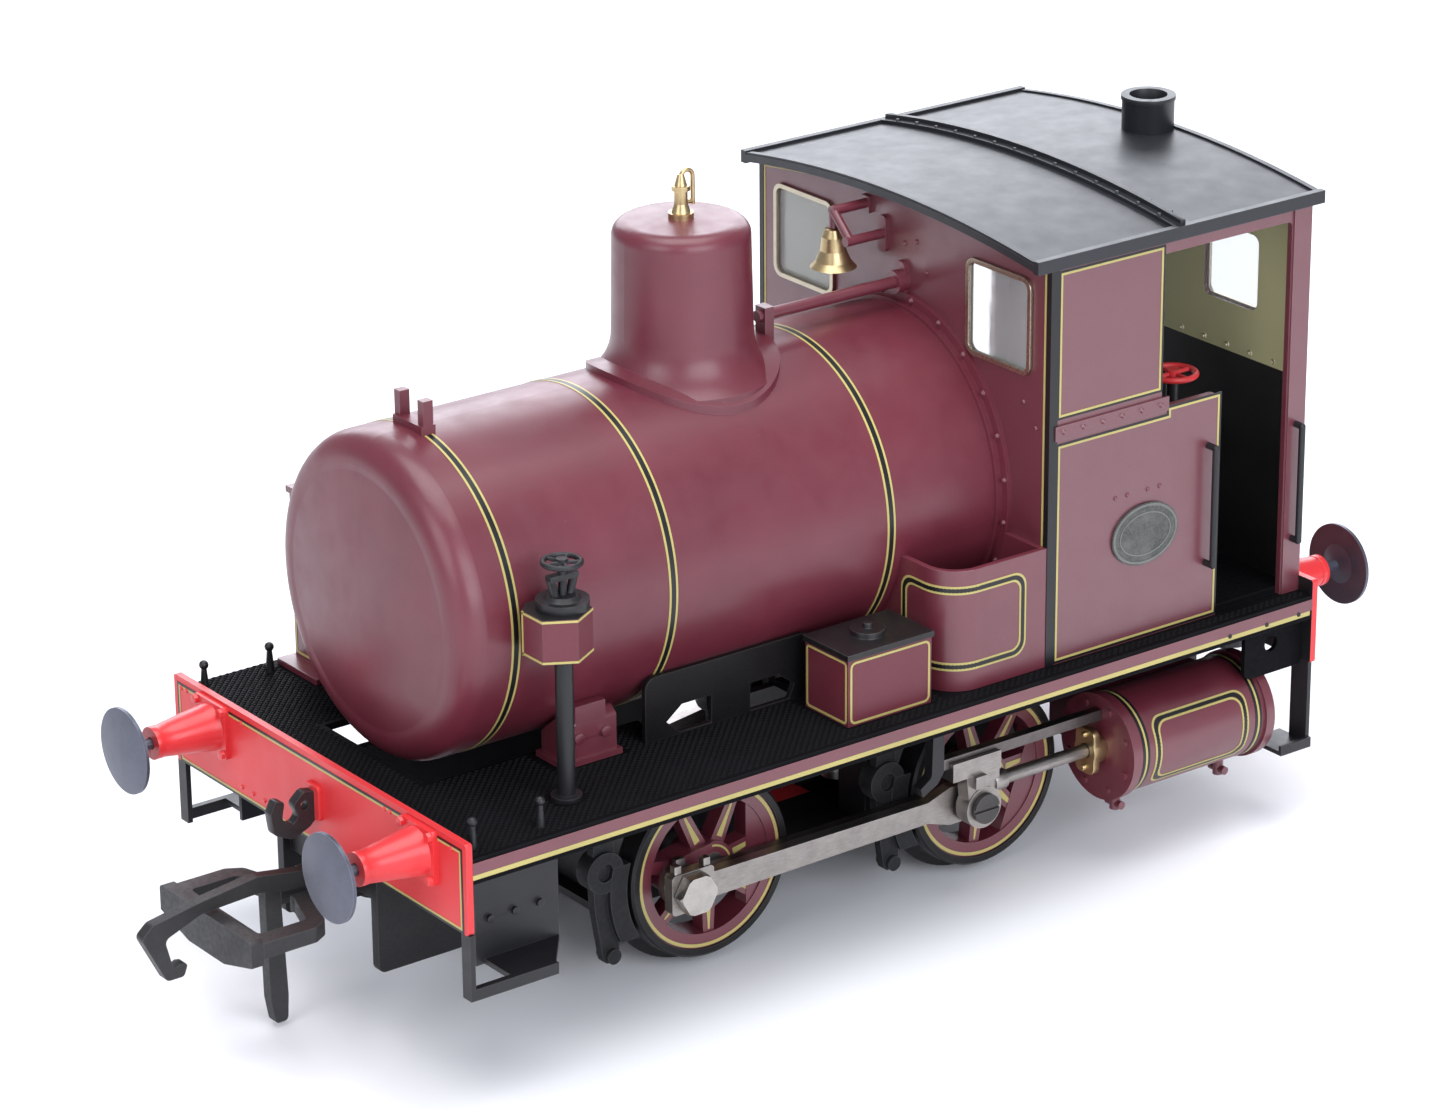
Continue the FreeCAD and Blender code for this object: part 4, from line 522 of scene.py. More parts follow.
def paint_surface(look, low, high, coat=0.0, shine=0.5):
    """Satin sheen that varies, with the fine orange peel of sprayed paint."""
    peel = 0.06
    look.link(look.ramp(look.noise(1.6, 4.0), 0.3, 0.7, low, high), look.shader.inputs["Roughness"])
    look.shader.inputs["Coat Weight"].default_value = coat
    look.shader.inputs["Specular IOR Level"].default_value = shine
    look.shader.inputs["Coat Roughness"].default_value = 0.22
    broad = look.bump(look.noise(0.9, 2.0), peel, 0.03)
    look.set_normal(look.bump(look.noise(0.16, 2.0), peel * 1.4, 0.012, broad))


def painted(name, colour, low=0.3, high=0.42, coat=0.0, edge_highlight_level=0.22, shine=0.5):
    look = Look(name)
    look.set_base(paint_colour(look, colour, edge_highlight_level))
    paint_surface(look, low, high, coat, shine=shine)
    return look.material


def metal(name, colour, low, high, brush=(1, 1, 1), grime=0.35, painted_edge_shine=1.6, metallic=1.0):
    """Bare metal with fine machining marks, darker grime away from the edges and brighter edges, a painted
    edge highlight.
    """
    look = Look(name)
    marks = look.noise(0.06, 4.0, 0.7, look.stretched(*brush))
    tone = look.mix(look.ramp(marks, 0.3, 0.7, 0.0, 1.0), lighter(colour, 0.78), lighter(colour, 1.18))
    stain = look.ramp(look.noise(1.1, 5.0, 0.65), 0.42, 0.7, 0.0, grime)
    tone = look.mix(stain, tone, lighter(colour, 0.4))
    # edges brightened: a painted edge highlight
    tone = look.mix(look.maths("MULTIPLY", look.edges(0.08), 0.6), tone, lighter(colour, painted_edge_shine))
    look.set_base(tone)
    look.shader.inputs["Metallic"].default_value = metallic
    look.link(look.ramp(marks, 0.25, 0.75, low, high), look.shader.inputs["Roughness"])
    fine = look.bump(marks, 0.18, 0.01)
    look.set_normal(look.bump(look.noise(0.5, 3.0), 0.06, 0.02, fine))
    return look.material


def plastic(name, colour, low, high, sheen=0.5, edge_highlight_strength=0.35):
    """Moulded plastic: a fine sparked texture and slightly shiny edges, a painted edge sheen in the colour.
    """
    look = Look(name)
    slow = look.ramp(look.noise(2.2, 3.0), 0.3, 0.7, 0.0, 1.0)
    tone = look.mix(slow, lighter(colour, 0.8), lighter(colour, 1.25))
    # paler edges: a painted edge sheen
    painted_edge_shine = look.maths("MULTIPLY", look.edges(0.1), edge_highlight_strength)
    tone = look.mix(painted_edge_shine, tone, toward(colour, (0.3, 0.3, 0.32), 0.4))
    look.set_base(tone)
    look.shader.inputs["Specular IOR Level"].default_value = sheen
    look.link(look.ramp(look.noise(0.3, 4.0), 0.3, 0.7, low, high), look.shader.inputs["Roughness"])
    look.set_normal(look.bump(look.noise(0.09, 3.0, 0.7), 0.3, 0.02))
    return look.material


MAROON = (0.125, 0.018, 0.031)
BLACK = (0.009, 0.009, 0.011)
# a black darker than BLACK; on the chequer, footplate, cab floor, cab inside below the dado and frames
# above the footplate its extra darkness is painted shade, and on the beams' red inner ends the whole black
# is painted shade
DEEP_BLACK = (0.004, 0.004, 0.005)
RED = (0.66, 0.03, 0.035)
YELLOW = (0.44, 0.37, 0.125)
CREAM = (0.55, 0.52, 0.28)
ALONG_X = (0.08, 1, 1)
ALONG_Y = (1, 0.1, 1)

maroon = painted("maroon_satin", MAROON, 0.34, 0.46, coat=0.3, shine=0.85)
drum_maroon = painted("drum_maroon", MAROON, 0.34, 0.46, coat=0.15, shine=0.6)
black = painted("black_satin", BLACK, 0.36, 0.5)
black_line = painted("black_line", lighter(BLACK, 0.7), 0.3, 0.42, edge_highlight_level=0.0)
roof_black = painted("roof_black", (0.012, 0.013, 0.017), 0.42, 0.5, coat=0.12)
red = painted("signal_red", RED, 0.28, 0.4, coat=0.15)
yellow = painted("lining_yellow", YELLOW, 0.35, 0.5, edge_highlight_level=0.0)
# footplate chequer and deck in the deeper black: partly painted shade
chequer_black = plastic("chequer_black", DEEP_BLACK, 0.5, 0.65, sheen=0.08, edge_highlight_strength=0.03)
deck_black = plastic("deck_black", DEEP_BLACK, 0.5, 0.7, sheen=0.06, edge_highlight_strength=0.08)
black_plastic = plastic("coupling_plastic", (0.018, 0.018, 0.019), 0.42, 0.6)
cast_black = plastic("cast_black", (0.011, 0.011, 0.012), 0.5, 0.7, sheen=0.3)
buffer_steel = metal("buffer_steel", (0.13, 0.135, 0.17), 0.36, 0.5, grime=0.2, painted_edge_shine=2.2, metallic=0.85)
rod_steel = metal("rod_steel", (0.36, 0.33, 0.31), 0.3, 0.46, brush=ALONG_X)
dark_rod_steel = metal("dark_rod_steel", (0.17, 0.15, 0.145), 0.3, 0.46, brush=ALONG_X)
axle_steel = metal("axle_steel", (0.5, 0.47, 0.44), 0.26, 0.4, brush=ALONG_Y)
tyre_steel = metal("tyre_steel", (0.028, 0.027, 0.028), 0.34, 0.5, painted_edge_shine=3.0, metallic=0.7)
dark_steel = metal("dark_steel", (0.09, 0.085, 0.085), 0.34, 0.5, metallic=0.9)
brass = metal("brass", (0.6, 0.46, 0.25), 0.28, 0.42, grime=0.3, painted_edge_shine=1.3)
rim_metal = metal("window_rim_metal", (0.5, 0.44, 0.34), 0.22, 0.36, grime=0.2, painted_edge_shine=1.3)
motor_steel = metal("motor_steel", (0.5, 0.5, 0.5), 0.3, 0.45)
plate_rim = metal("plate_rim", (0.2, 0.2, 0.19), 0.35, 0.5, metallic=0.85)


def etched_plate():
    """Dark etched metal with a fine stipple and a brighter rubbed centre."""
    look = Look("etched_plate")
    stipple = look.noise(0.1, 3.0, 0.7)
    tone = look.mix(look.ramp(stipple, 0.35, 0.65, 0.0, 1.0), (0.06, 0.062, 0.058), (0.13, 0.135, 0.125))
    tone = look.mix(look.ramp(look.noise(0.9, 4.0), 0.4, 0.7, 0.0, 0.5), tone, (0.2, 0.2, 0.185))
    look.set_base(tone)
    look.shader.inputs["Metallic"].default_value = 0.8
    look.link(look.ramp(stipple, 0.3, 0.7, 0.36, 0.55), look.shader.inputs["Roughness"])
    look.set_normal(look.bump(stipple, 0.35, 0.02))
    return look.material


def glazing():
    """Clear moulded window with faint ripples; a fifth of it scatters white, a painted reflection on the
    glass.
    """
    look = Look("glazing")
    look.shader.inputs["Base Color"].default_value = (0.97, 0.985, 0.98, 1.0)
    # transmission below 1: the rest is diffuse white, a painted reflection
    look.shader.inputs["Transmission Weight"].default_value = 0.8
    look.shader.inputs["IOR"].default_value = 1.46
    look.link(look.ramp(look.noise(0.8, 4.0), 0.4, 0.75, 0.02, 0.07), look.shader.inputs["Roughness"])
    look.set_normal(look.bump(look.noise(2.5, 2.0), 0.04, 0.05))
    return look.material


def two_tone(name, upper, lower, mask, shine=0.5):
    """Piece in two colours, upper where the mask is 1: two-tone paint, and painted shade on the beams'
    inner ends and partly on the frames above the footplate.
    """
    look = Look(name)
    look.set_base(detail_over(look, look.mix(mask(look), lower, upper)))
    paint_surface(look, 0.34, 0.46, shine=shine)
    return look.material


def higher_than(level):
    return lambda look: look.above(look.axis(2), level)


def beyond(distance):
    """Mask of what lies further than a distance from the middle, along X."""
    return lambda look: look.above(look.maths("ABSOLUTE", look.axis(0)), distance)


def inward_ends(look):
    """Faces that look along X toward the middle."""
    across = look.maths("MULTIPLY", look.facing(0), look.maths("SIGN", look.axis(0)))
    return look.maths("LESS_THAN", across, -0.5)


def red_patch(look):
    """Upper face of the keeper between the wheels, on the right of the centre line."""
    inner = look.maths("LESS_THAN", look.maths("ABSOLUTE", look.axis(0)), RED_PATCH_X)
    right = look.maths("LESS_THAN", look.axis(1), RED_PATCH_Y)
    return look.both(look.both(inner, right), look.above(look.facing(2), 0.5))


def detail_over(look, base):
    """Tone shifts and paler edges, a painted edge highlight, over a colour that varies over the surface."""
    slow = look.ramp(look.noise(6.0, 2.0), 0.3, 0.7, 0.0, 0.03)
    tone = look.mix(slow, base, (0.12, 0.09, 0.09))
    grain = look.ramp(look.noise(0.12, 2.0), 0.35, 0.75, 0.0, 0.02)
    tone = look.mix(grain, tone, (0.4, 0.34, 0.33))
    # paler edges: a painted edge highlight
    return look.mix(look.maths("MULTIPLY", look.edges(0.09), 0.1), tone, (0.45, 0.36, 0.34))


def cab_sheet(name, inner_faces):
    """Maroon outside; inside, cream above the dado and black below it, made deeper as painted shade."""
    look = Look(name)
    inside = inner_faces(look)
    # below the dado: black paint, made deeper as painted shade
    lining = look.mix(look.above(look.axis(2), CAB_DADO_Z), DEEP_BLACK, CREAM)
    look.set_base(detail_over(look, look.mix(inside, MAROON, lining)))
    paint_surface(look, 0.34, 0.46, coat=0.4, shine=1.0)
    return look.material


def inner_side_faces(look):
    """Faces of the side sheets that look across the cab."""
    across = look.maths("MULTIPLY", look.facing(1), look.maths("SIGN", look.axis(1)))
    return look.maths("LESS_THAN", across, -0.5)


# ---------------------------------------------------------------- materials of the CAD nodes
rear_cab = cab_sheet("cab_rear_paint", lambda k: k.above(k.facing(0), 0.5))
front_cab = cab_sheet("cab_front_paint", lambda k: k.maths("LESS_THAN", k.facing(0), -0.5))
side_cab = cab_sheet("cab_side_paint", inner_side_faces)
box_lid = two_tone("sandbox_paint", DEEP_BLACK, MAROON, higher_than(SANDBOX_TOP - 0.01))
brake = two_tone("hand_brake_paint", RED, BLACK, higher_than(BRAKE_RED_Z))
# inner ends of the red beams in black: painted shade, not paint
beams = two_tone("beam_red_and_painted_shade", DEEP_BLACK, RED, inward_ends)
hook = two_tone("drawhook_paint", BLACK, RED, beyond(BEAMS.x1 + HOOK_PLATE))
valve = two_tone("valve_box_paint", DEEP_BLACK, MAROON, higher_than(VALVE_BOX.z1 - 0.02))
# frames above the footplate, under the reservoir, in a deeper black: partly painted shade
frames = two_tone("frame_paint", DEEP_BLACK, BLACK, higher_than(FLOOR_Z), shine=0.25)
keeper = two_tone("keeper_paint", RED, DEEP_BLACK, red_patch)
NODE_LOOKS = (
    (frames, "main_frames"),
    (keeper, "keeper_plate"),
    (beams, "buffer_beams"),
    (hook, "drawhooks"),
    (box_lid, "sandboxes"),
    (valve, "charging_valve_box"),
    (brake, "hand_brake"),
    (front_cab, "cab_front_sheet"),
    (side_cab, "cab_sides"),
    (rear_cab, "cab_rear_sheet"),
    (cast_black, "brake_gear"),
    (deck_black, "footplate cab_floor"),
    (red, "buffer_housings"),
    (black, "steps stanchions cab_handrails charging_column motion_brackets"),
    (roof_black, "cab_roof"),
    (drum_maroon, "reservoir dome"),
    (maroon, "steam_pipe bell_bracket bunkers locker valve_castings cylinders"),
    (maroon, "front_wheel_centres rear_wheel_centres"),
    (brass, "safety_valve bell cylinder_glands axle_gear"),
    (rim_metal, "window_frames"),
    (glazing(), "window_glazing"),
    (etched_plate(), "maker_plates"),
    (dark_rod_steel, "slide_bars coupling_rod_left coupling_rod_right"),
    (rod_steel, "connecting_rod_left connecting_rod_right crosshead_left crosshead_right"),
    (motor_steel, "motor"),
    (axle_steel, "worm_shaft front_axle"),
    (dark_steel, "rear_axle gudgeon_pin_left gudgeon_pin_right"),
    (tyre_steel, "front_tyres rear_tyres"),
    (black_plastic, "front_coupling front_coupling_hook rear_coupling rear_coupling_hook"),
    (buffer_steel, "buffer_front_left buffer_front_right buffer_rear_left buffer_rear_right"),
)


def finish_nodes():
    """Gives every CAD node its material."""
    for material, nodes in NODE_LOOKS:
        for node in nodes.split():
            for socket in frame["nodes"][node].material_slots:
                socket.material = material


CRISP_NODES = [
    "footplate", "buffer_beams", "steps", "cab_front_sheet", "cab_sides", "cab_rear_sheet",
    "cab_roof", "bunkers", "sandboxes", "locker", "charging_valve_box", "valve_castings",
    "connecting_rod_left", "connecting_rod_right", "coupling_rod_left", "coupling_rod_right",
    "crosshead_left", "crosshead_right", "slide_bars",
    "motion_brackets", "front_coupling", "rear_coupling", "front_coupling_hook", "rear_coupling_hook",
    "drawhooks", "brake_gear", "window_frames", "buffer_housings", "main_frames", "cylinder_glands",
    "charging_column",
]


def soften_edges():
    """Small rounding on the edges of the plate and rod work."""
    for node in CRISP_NODES:
        piece = frame["nodes"][node]
        weld = piece.modifiers.new("weld", "WELD")
        weld.merge_threshold = WELD_GAP * MM
        flat = piece.modifiers.new("flats", "DECIMATE")
        flat.decimate_type = "DISSOLVE"
        flat.angle_limit = math.radians(FLAT_ANGLE)
        add_bevel(piece, EDGE_BEVEL)
        add_smoothing(piece, NODE_SMOOTH_ANGLE)
        level = piece.modifiers.new("level_faces", "WEIGHTED_NORMAL")
        level.keep_sharp = True
        level.weight = 100


# ---------------------------------------------------------------- lining
def triple_line(yellow_shape, black_shape, surface, outline_at):
    """Yellow, black, yellow lines; outline_at(inset) gives the outline at a distance inwards."""
    step = (LINE_W + LINE_GAP_W) / 2
    black_shape.line(surface, outline_at(step), LINE_GAP_W + 0.04)
    yellow_shape.line(surface, outline_at(0.0), LINE_W)
    yellow_shape.line(surface, outline_at(2 * step), LINE_W)


def band_profile(radius, t0, t1):
    """Section of a painted band on a round surface, between two distances along its axis."""
    low, high = radius - PAINT_SUNK, radius + PAINT_PROUD
    return [(low, t0), (high, t0), (high, t1), (low, t1)]


def bands(yellow_shape, black_shape):
    """Lined bands round the reservoir."""
    half = BAND_BLACK_W / 2
    for x in BAND_X:
        for shape, x0, x1 in ((black_shape, -half, half), (yellow_shape, half, half + LINE_W),
                              (yellow_shape, -half - LINE_W, -half)):
            shape.lathe((x, 0, TANK_Z), (1, 0, 0), band_profile(TANK_R, x0, x1), 144)


def cab_lining(yellow_shape, black_shape):
    """Left cab side: lined upper and lower panels in black edging."""
    surface = side_plane(CAB_SIDE_FACE)
    front = CAB_SIDES.x1
    rear, ahead, foot = ENTRY_FRONT_X + 0.25, front - 0.42, FLOOR_Z + 0.3
    step_x, low_top, high_top = PANEL_REAR_X - 0.7, 30.5, 31.0
    upper = rect(PANEL_REAR_X + 0.22, ahead, 32.55, 41.8)
    lower = rounded([(rear, foot, 0), (ahead, foot, 0), (ahead, low_top, 0), (step_x, low_top, 0),
                     (step_x, high_top, 0), (rear, high_top, 0)])
    for outline in (upper, lower):
        yellow_shape.line(surface, outline, LINE_W)
        black_shape.line(surface, offset(outline, -LINE_W, True), LINE_W)
    y0, y1 = CAB_SIDE_FACE - 0.38, CAB_SIDE_FACE + 0.05
    black_shape.slab(front - 0.22, front + 0.44, y0, y1, FLOOR_Z, EAVE_Z)


def cab_front_lining(yellow_shape):
    """One line round the cab front, inside its black corners."""
    half = CAB_FRONT.y1 - 0.52
    arc = [Vector((y, cab_top(y) - 0.35)) for y in arc_stations(half)]
    path = [Vector((half, FLOOR_Z + 0.4))] + arc + [Vector((-half, FLOOR_Z + 0.4))]
    yellow_shape.line(end_plane(CAB_FRONT.x1, 1), path, 0.17, False)


def arc_stations(half, count=24):
    """Distances from the centre line, from one side to the other."""
    return [half - 2 * half * k / count for k in range(count + 1)]


def arc_height(y, half, edge, crown):
    """Height at y of an arc across the cab, from its height at the sides and on the centre line."""
    radius = (half * half + (crown - edge) ** 2) / (2 * (crown - edge))
    return crown - radius + math.sqrt(radius * radius - y * y)


def cab_top(y):
    """Height of the cab front's curved top at a distance from the centre line."""
    return arc_height(y, CAB_FRONT.y1, EAVE_Z, CAB_FRONT.z1)


def bunker_surface():
    """Outside of the left bunker, unrolled: u runs along its front, round the corner and back."""
    corner_r = BUNKER_CORNER_R
    x_face, y_face = BUNKERS.x1, BUNKERS.y1
    turn = corner_r * math.pi / 2
    front_length = y_face - corner_r

    def surface(u, v):
        if u < front_length:
            return (x_face, u, v), (1, 0, 0)
        if u < front_length + turn:
            a = (u - front_length) / corner_r
            n = Vector((math.cos(a), math.sin(a), 0))
            centre = Vector((x_face - corner_r, y_face - corner_r, v))
            return centre + n * corner_r, n
        return (x_face - corner_r - (u - front_length - turn), y_face, v), (0, 1, 0)

    return surface, front_length + turn


def dense(outline, step=0.25):
    """The same closed outline with points no further apart than step."""
    points = []
    for i, p in enumerate(outline):
        q = outline[(i + 1) % len(outline)]
        n = max(1, math.ceil((q - p).length / step))
        points += [p.lerp(q, k / n) for k in range(n)]
    return points


def bunker_lining(yellow_shape, black_shape):
    surface, side_start = bunker_surface()
    u0, u1 = side_start - 5.9, side_start + 3.8
    z0, z1, corner = 17.4, 22.9, 0.9

    def outline(inset):
        return dense(rect(u0 + inset, u1 - inset, z0 + inset, z1 - inset, corner - inset / 2))

    triple_line(yellow_shape, black_shape, surface, outline)


def box_lining(yellow_shape, x0, x1, y0, y1, z0, z1):
    """Edge lines on the outer side, at y1, and both ends of a box."""
    low_z, high_z = z0 + EDGE_INSET, z1 - EDGE_INSET
    yellow_shape.line(side_plane(y1), rect(x0 + EDGE_INSET, x1 - EDGE_INSET, low_z, high_z, 0.35), LINE_W)
    low_y, high_y = min(y0, y1) + EDGE_INSET, max(y0, y1) - EDGE_INSET
    for x, facing in ((x1, 1), (x0, -1)):
        yellow_shape.line(end_plane(x, facing), rect(low_y, high_y, low_z, high_z, 0.2), LINE_W)


def valve_box_lining(yellow_shape):
    """Edge lines round the six-sided charging valve box."""
    box = VALVE_BOX
    x, across = (box.x0 + box.x1) / 2, (box.x1 - box.x0) / 2
    corner = across / math.sqrt(3)
    y = box.y1 - 2 * corner
    plan = [Vector(p) for p in ((box.x1, y - corner), (box.x1, y + corner), (x, box.y1),
                                (box.x0, y + corner), (box.x0, y - corner))]
    for a, b in zip(plan, plan[1:]):
        along = (b - a).normalized()
        normal = Vector((along.y, -along.x, 0))

        def face(u, v, a=a, along=along, normal=normal):
            p = a + along * u
            return (p.x, p.y, v), normal

        for z in (box.z0 + 0.12, box.z1 - 0.12):
            yellow_shape.line(face, [Vector((0, z)), Vector(((b - a).length, z))], FINE_LINE_W, False)
    inner = y - corner + 0.1
    for edge_x, sign in ((box.x1, 1), (box.x0, -1)):
        path = [Vector((inner, box.z0)), Vector((inner, box.z1))]
        yellow_shape.line(end_plane(edge_x, sign), path, FINE_LINE_W, False)


def valance(yellow_shape, maroon_shape, black_shape):
    """Left valance: maroon strip, yellow line and black rivets."""
    y = FOOTPLATE.y1
    x0, x1 = FOOTPLATE.x0, FOOTPLATE.x1
    maroon_shape.slab(x0, x1, y - 0.05, y + 0.03, *VALANCE_STRIP_Z)
    path = [Vector((x0 + 0.2, VALANCE_LINE_Z)), Vector((x1, VALANCE_LINE_Z))]
    yellow_shape.line(side_plane(y), path, VALANCE_LINE_W, False)
    for x in (x0 + 1.2, x0 + 4.0, x0 + 7.2):
        black_shape.stud((x, y, VALANCE_LINE_Z + 0.14), (0, 1, 0), 0.16, RIVET_H)


def cylinder_wall(u, v):
    """Outer wall of the left cylinder: u along X, v round from straight outwards, as a length."""
    a = v / CYLINDER_R
    n = Vector((0, math.cos(a), math.sin(a)))
    return Vector((u, CYLINDER_Y, CYLINDER_Z)) + n * CYLINDER_R, n


def cylinder_lining(yellow_shape, black_shape):
    """Lined panel and end bands of the left cylinder."""
    x0, x1 = CYLINDER_ENDS_X
    v0, v1, corner = -2.4, 2.5, 0.8

    def outline(inset):
        return dense(rect(x0 + 2.2 + inset, x1 - 2.1 - inset, v0 + inset, v1 - inset, corner))

    triple_line(yellow_shape, black_shape, cylinder_wall, outline)
    for x in (x0 + 1.25, x1 - 1.25):
        for shape, t0, t1 in ((yellow_shape, -0.08, 0.08), (black_shape, 0.08, 0.28),
                              (black_shape, -0.28, -0.08)):
            shape.lathe((x, CYLINDER_Y, CYLINDER_Z), (1, 0, 0), band_profile(CYLINDER_R, t0, t1), 64)


def beam_lining(yellow_shape, black_shape, red_shape):
    """Front beam: yellow line in a black one, inside the edges, with small bolts."""
    x = BEAMS.x1
    surface = end_plane(x, 1)
    half = BEAMS.y1
    border = rect(-half + 0.62, half - 0.62, BEAMS.z0 + 0.25, BEAMS.z1 - 0.62)
    yellow_shape.line(surface, border, LINE_W)
    black_shape.line(surface, offset(border, -LINE_W, True), 0.16)
    for sign in (1, -1):
        for dy, dz in ((-3.2, 1.25), (-3.8, 1.25), (-2.6, -1.9), (3.2, 1.25)):
            red_shape.stud((x, sign * BUFFER_Y + dy, BUFFER_Z + dz), (1, 0, 0), 0.16, RIVET_H)
        for k in range(4):
            red_shape.stud((x, sign * (4.6 + 1.3 * k), BEAMS.z0 + 0.77), (1, 0, 0), 0.15, 0.12)


def wheel_lining(axle, phase):
    """Left wheel: ring, spoke lines and hub ring."""
    shape = Shape()
    for (r0, r1), y in ((RIM_RING_R, WHEEL_RIM_Y), (HUB_RING_R, WHEEL_HUB_Y)):
        profile = [(r0, y - PAINT_SUNK), (r0, y + PAINT_PROUD), (r1, y + PAINT_PROUD), (r1, y - PAINT_SUNK)]
        shape.lathe((axle.x, 0, axle.z), (0, 1, 0), profile, 96)
    for k in range(SPOKES):
        a = math.radians(phase + 360.0 / SPOKES * k)
        out = Vector((math.cos(a), 0, math.sin(a)))
        across = Vector((-math.sin(a), 0, math.cos(a)))
        behind_crank_boss = out.x > 0.93
        if behind_crank_boss:
            continue
        corners = []
        for r, w in SPOKE_LINE:
            for s in (1, -1):
                corners.append(axle + out * r + across * w * s)
        order = (0, 1, 3, 2)
        low = shape.ring([(corners[i].x, WHEEL_FACE_Y - PAINT_SUNK, corners[i].z) for i in order])
        high = shape.ring([(corners[i].x, WHEEL_FACE_Y + PAINT_PROUD, corners[i].z) for i in order])
        shape.cap(low, True)
        shape.cap(high)
        shape.bridge(low, high)
    return shape


def wheel_pair_lining(name, axle, phase, body):
    """Lines of both wheels on an axle, the right one a quarter turn ahead."""
    left = wheel_lining(axle, phase)
    mirror = Matrix.Scale(-1, 4, (0, 1, 0))
    turn = Matrix.Rotation(math.radians(90), 4, "Y")
    quarter = Matrix.Translation(axle) @ turn @ Matrix.Translation(-axle)
    both = Shape()
    both.add(left)
    both.add(left.turned(quarter @ mirror))
    make(name, both, yellow, body)


def line_cab():
    """Lines and black edging of the cab."""
    lines, edging = Shape(), Shape()
    cab_lining(lines, edging)
    lines.mirrored_y()
    edging.mirrored_y()
    cab_front_lining(lines)
    make("cab_lining_yellow", lines, yellow)
    make("cab_edging_black", edging, black_line)


def line_reservoir():
    """Bands of the reservoir."""
    lines, middles = Shape(), Shape()
    bands(lines, middles)
    make("reservoir_band_yellow", lines, yellow)
    make("reservoir_band_black", middles, black_line)


def line_body():
    """Lines of the bunkers, cylinders, boxes, valances and valve box."""
    lines, middles, strips = Shape(), Shape(), Shape()
    bunker_lining(lines, middles)
    cylinder_lining(lines, middles)
    rear_x, front_x = SANDBOXES.x0 + LID_OVERHANG, SANDBOXES.x1 - LID_OVERHANG
    outer_y = SANDBOXES.y1 - LID_OVERHANG
    box_lining(lines, rear_x, front_x, outer_y - SANDBOX_DEPTH, outer_y, FLOOR_Z, SANDBOX_TOP)
    valance(lines, strips, middles)
    for shape in (lines, middles, strips):
        shape.mirrored_y()
    valve_box_lining(lines)
    box_lining(lines, LOCKER.x0 + 0.3, LOCKER.x1 - 1.2, *LOCKER_Y, FLOOR_Z + 0.5, LOCKER_TOP)
    make("body_lining_yellow", lines, yellow)
    make("body_lining_black", middles, black_line)
    make("valance_strips", strips, maroon)


def line_beams():
    """Lines and small bolts of both beams."""
    lines, middles, bolts = Shape(), Shape(), Shape()
    beam_lining(lines, middles, bolts)
    half_turn = Matrix.Rotation(math.pi, 4, "Z")
    for shape in (lines, middles, bolts):
        shape.add(shape.turned(half_turn))
    make("beam_lining_yellow", lines, yellow)
    make("beam_lining_black", middles, black_line)
    make("beam_bolts", bolts, red)


def line_wheels():
    """Lines of the four wheels."""
    wheel_pair_lining("front_wheel_lining", FRONT_AXLE, SPOKE_PHASE_FRONT, "front_wheelset")
    wheel_pair_lining("rear_wheel_lining", REAR_AXLE, SPOKE_PHASE_REAR, "rear_wheelset")


# ---------------------------------------------------------------- chequer plate, rivets and trim
def covered(x, y):
    """True where something stands on the footplate or it is cut away."""
    side = abs(y)
    if x < CAB_FRONT.x1 + 0.2:
        return side < CAB_SIDE_FACE + 0.35 and x > CAB_REAR.x0 - 0.3
    if any(x0 < x < x1 and side < reach for x0, x1, reach in BARE_AREAS):
        return True
    for box in (BUNKERS, SANDBOXES):
        beside = box.x0 - BARE_MARGIN < x < box.x1 + BARE_MARGIN
        if beside and BOX_INNER_Y < side < box.y1 + BARE_MARGIN:
            return True
    beside = LOCKER.x0 - BARE_MARGIN < x < LOCKER.x1 + BARE_MARGIN
    if beside and y < LOCKER.y1 + BARE_MARGIN:
        return True
    return math.hypot(x - COLUMN_FOOT[0], y - COLUMN_FOOT[1]) < COLUMN_FOOT_R


def lozenge(shape, x, y, pitch):
    """One raised lozenge on the footplate."""
    z = FLOOR_Z
    long, short = pitch * 0.46, pitch * 0.2
    base = shape.ring([(x - long, y, z - 0.01), (x, y - short, z - 0.01), (x + long, y, z - 0.01),
                       (x, y + short, z - 0.01)])
    top = shape.ring([(x - long * 0.55, y, z + CHEQUER_H), (x, y - short * 0.5, z + CHEQUER_H),
                      (x + long * 0.55, y, z + CHEQUER_H), (x, y + short * 0.5, z + CHEQUER_H)])
    shape.cap(base, True)
    shape.cap(top)
    shape.bridge(base, top)


def chequer():
    """Raised lozenges all over the top of the footplate."""
    shape = Shape()
    pitch = CHEQUER_PITCH
    rows = int((FOOTPLATE.y1 - 0.1) * 2 / (pitch / 2))
    columns = int((FOOTPLATE.x1 - FOOTPLATE.x0 - 0.4) / pitch)
    for j in range(rows):
        y = -FOOTPLATE.y1 + 0.15 + j * pitch / 2
        shift = pitch / 2 if j % 2 else 0.0
        for i in range(columns):
            x = FOOTPLATE.x0 + 0.3 + i * pitch + shift
            if not covered(x, y):
                lozenge(shape, x, y, pitch)
    make("footplate_chequer", shape, chequer_black)


def roof_height(y):
    """Height of the roof's outside at a distance from the centre line."""
    return arc_height(y, ROOF_HALF, ROOF_EAVE_Z, ROOF_CROWN_Z)


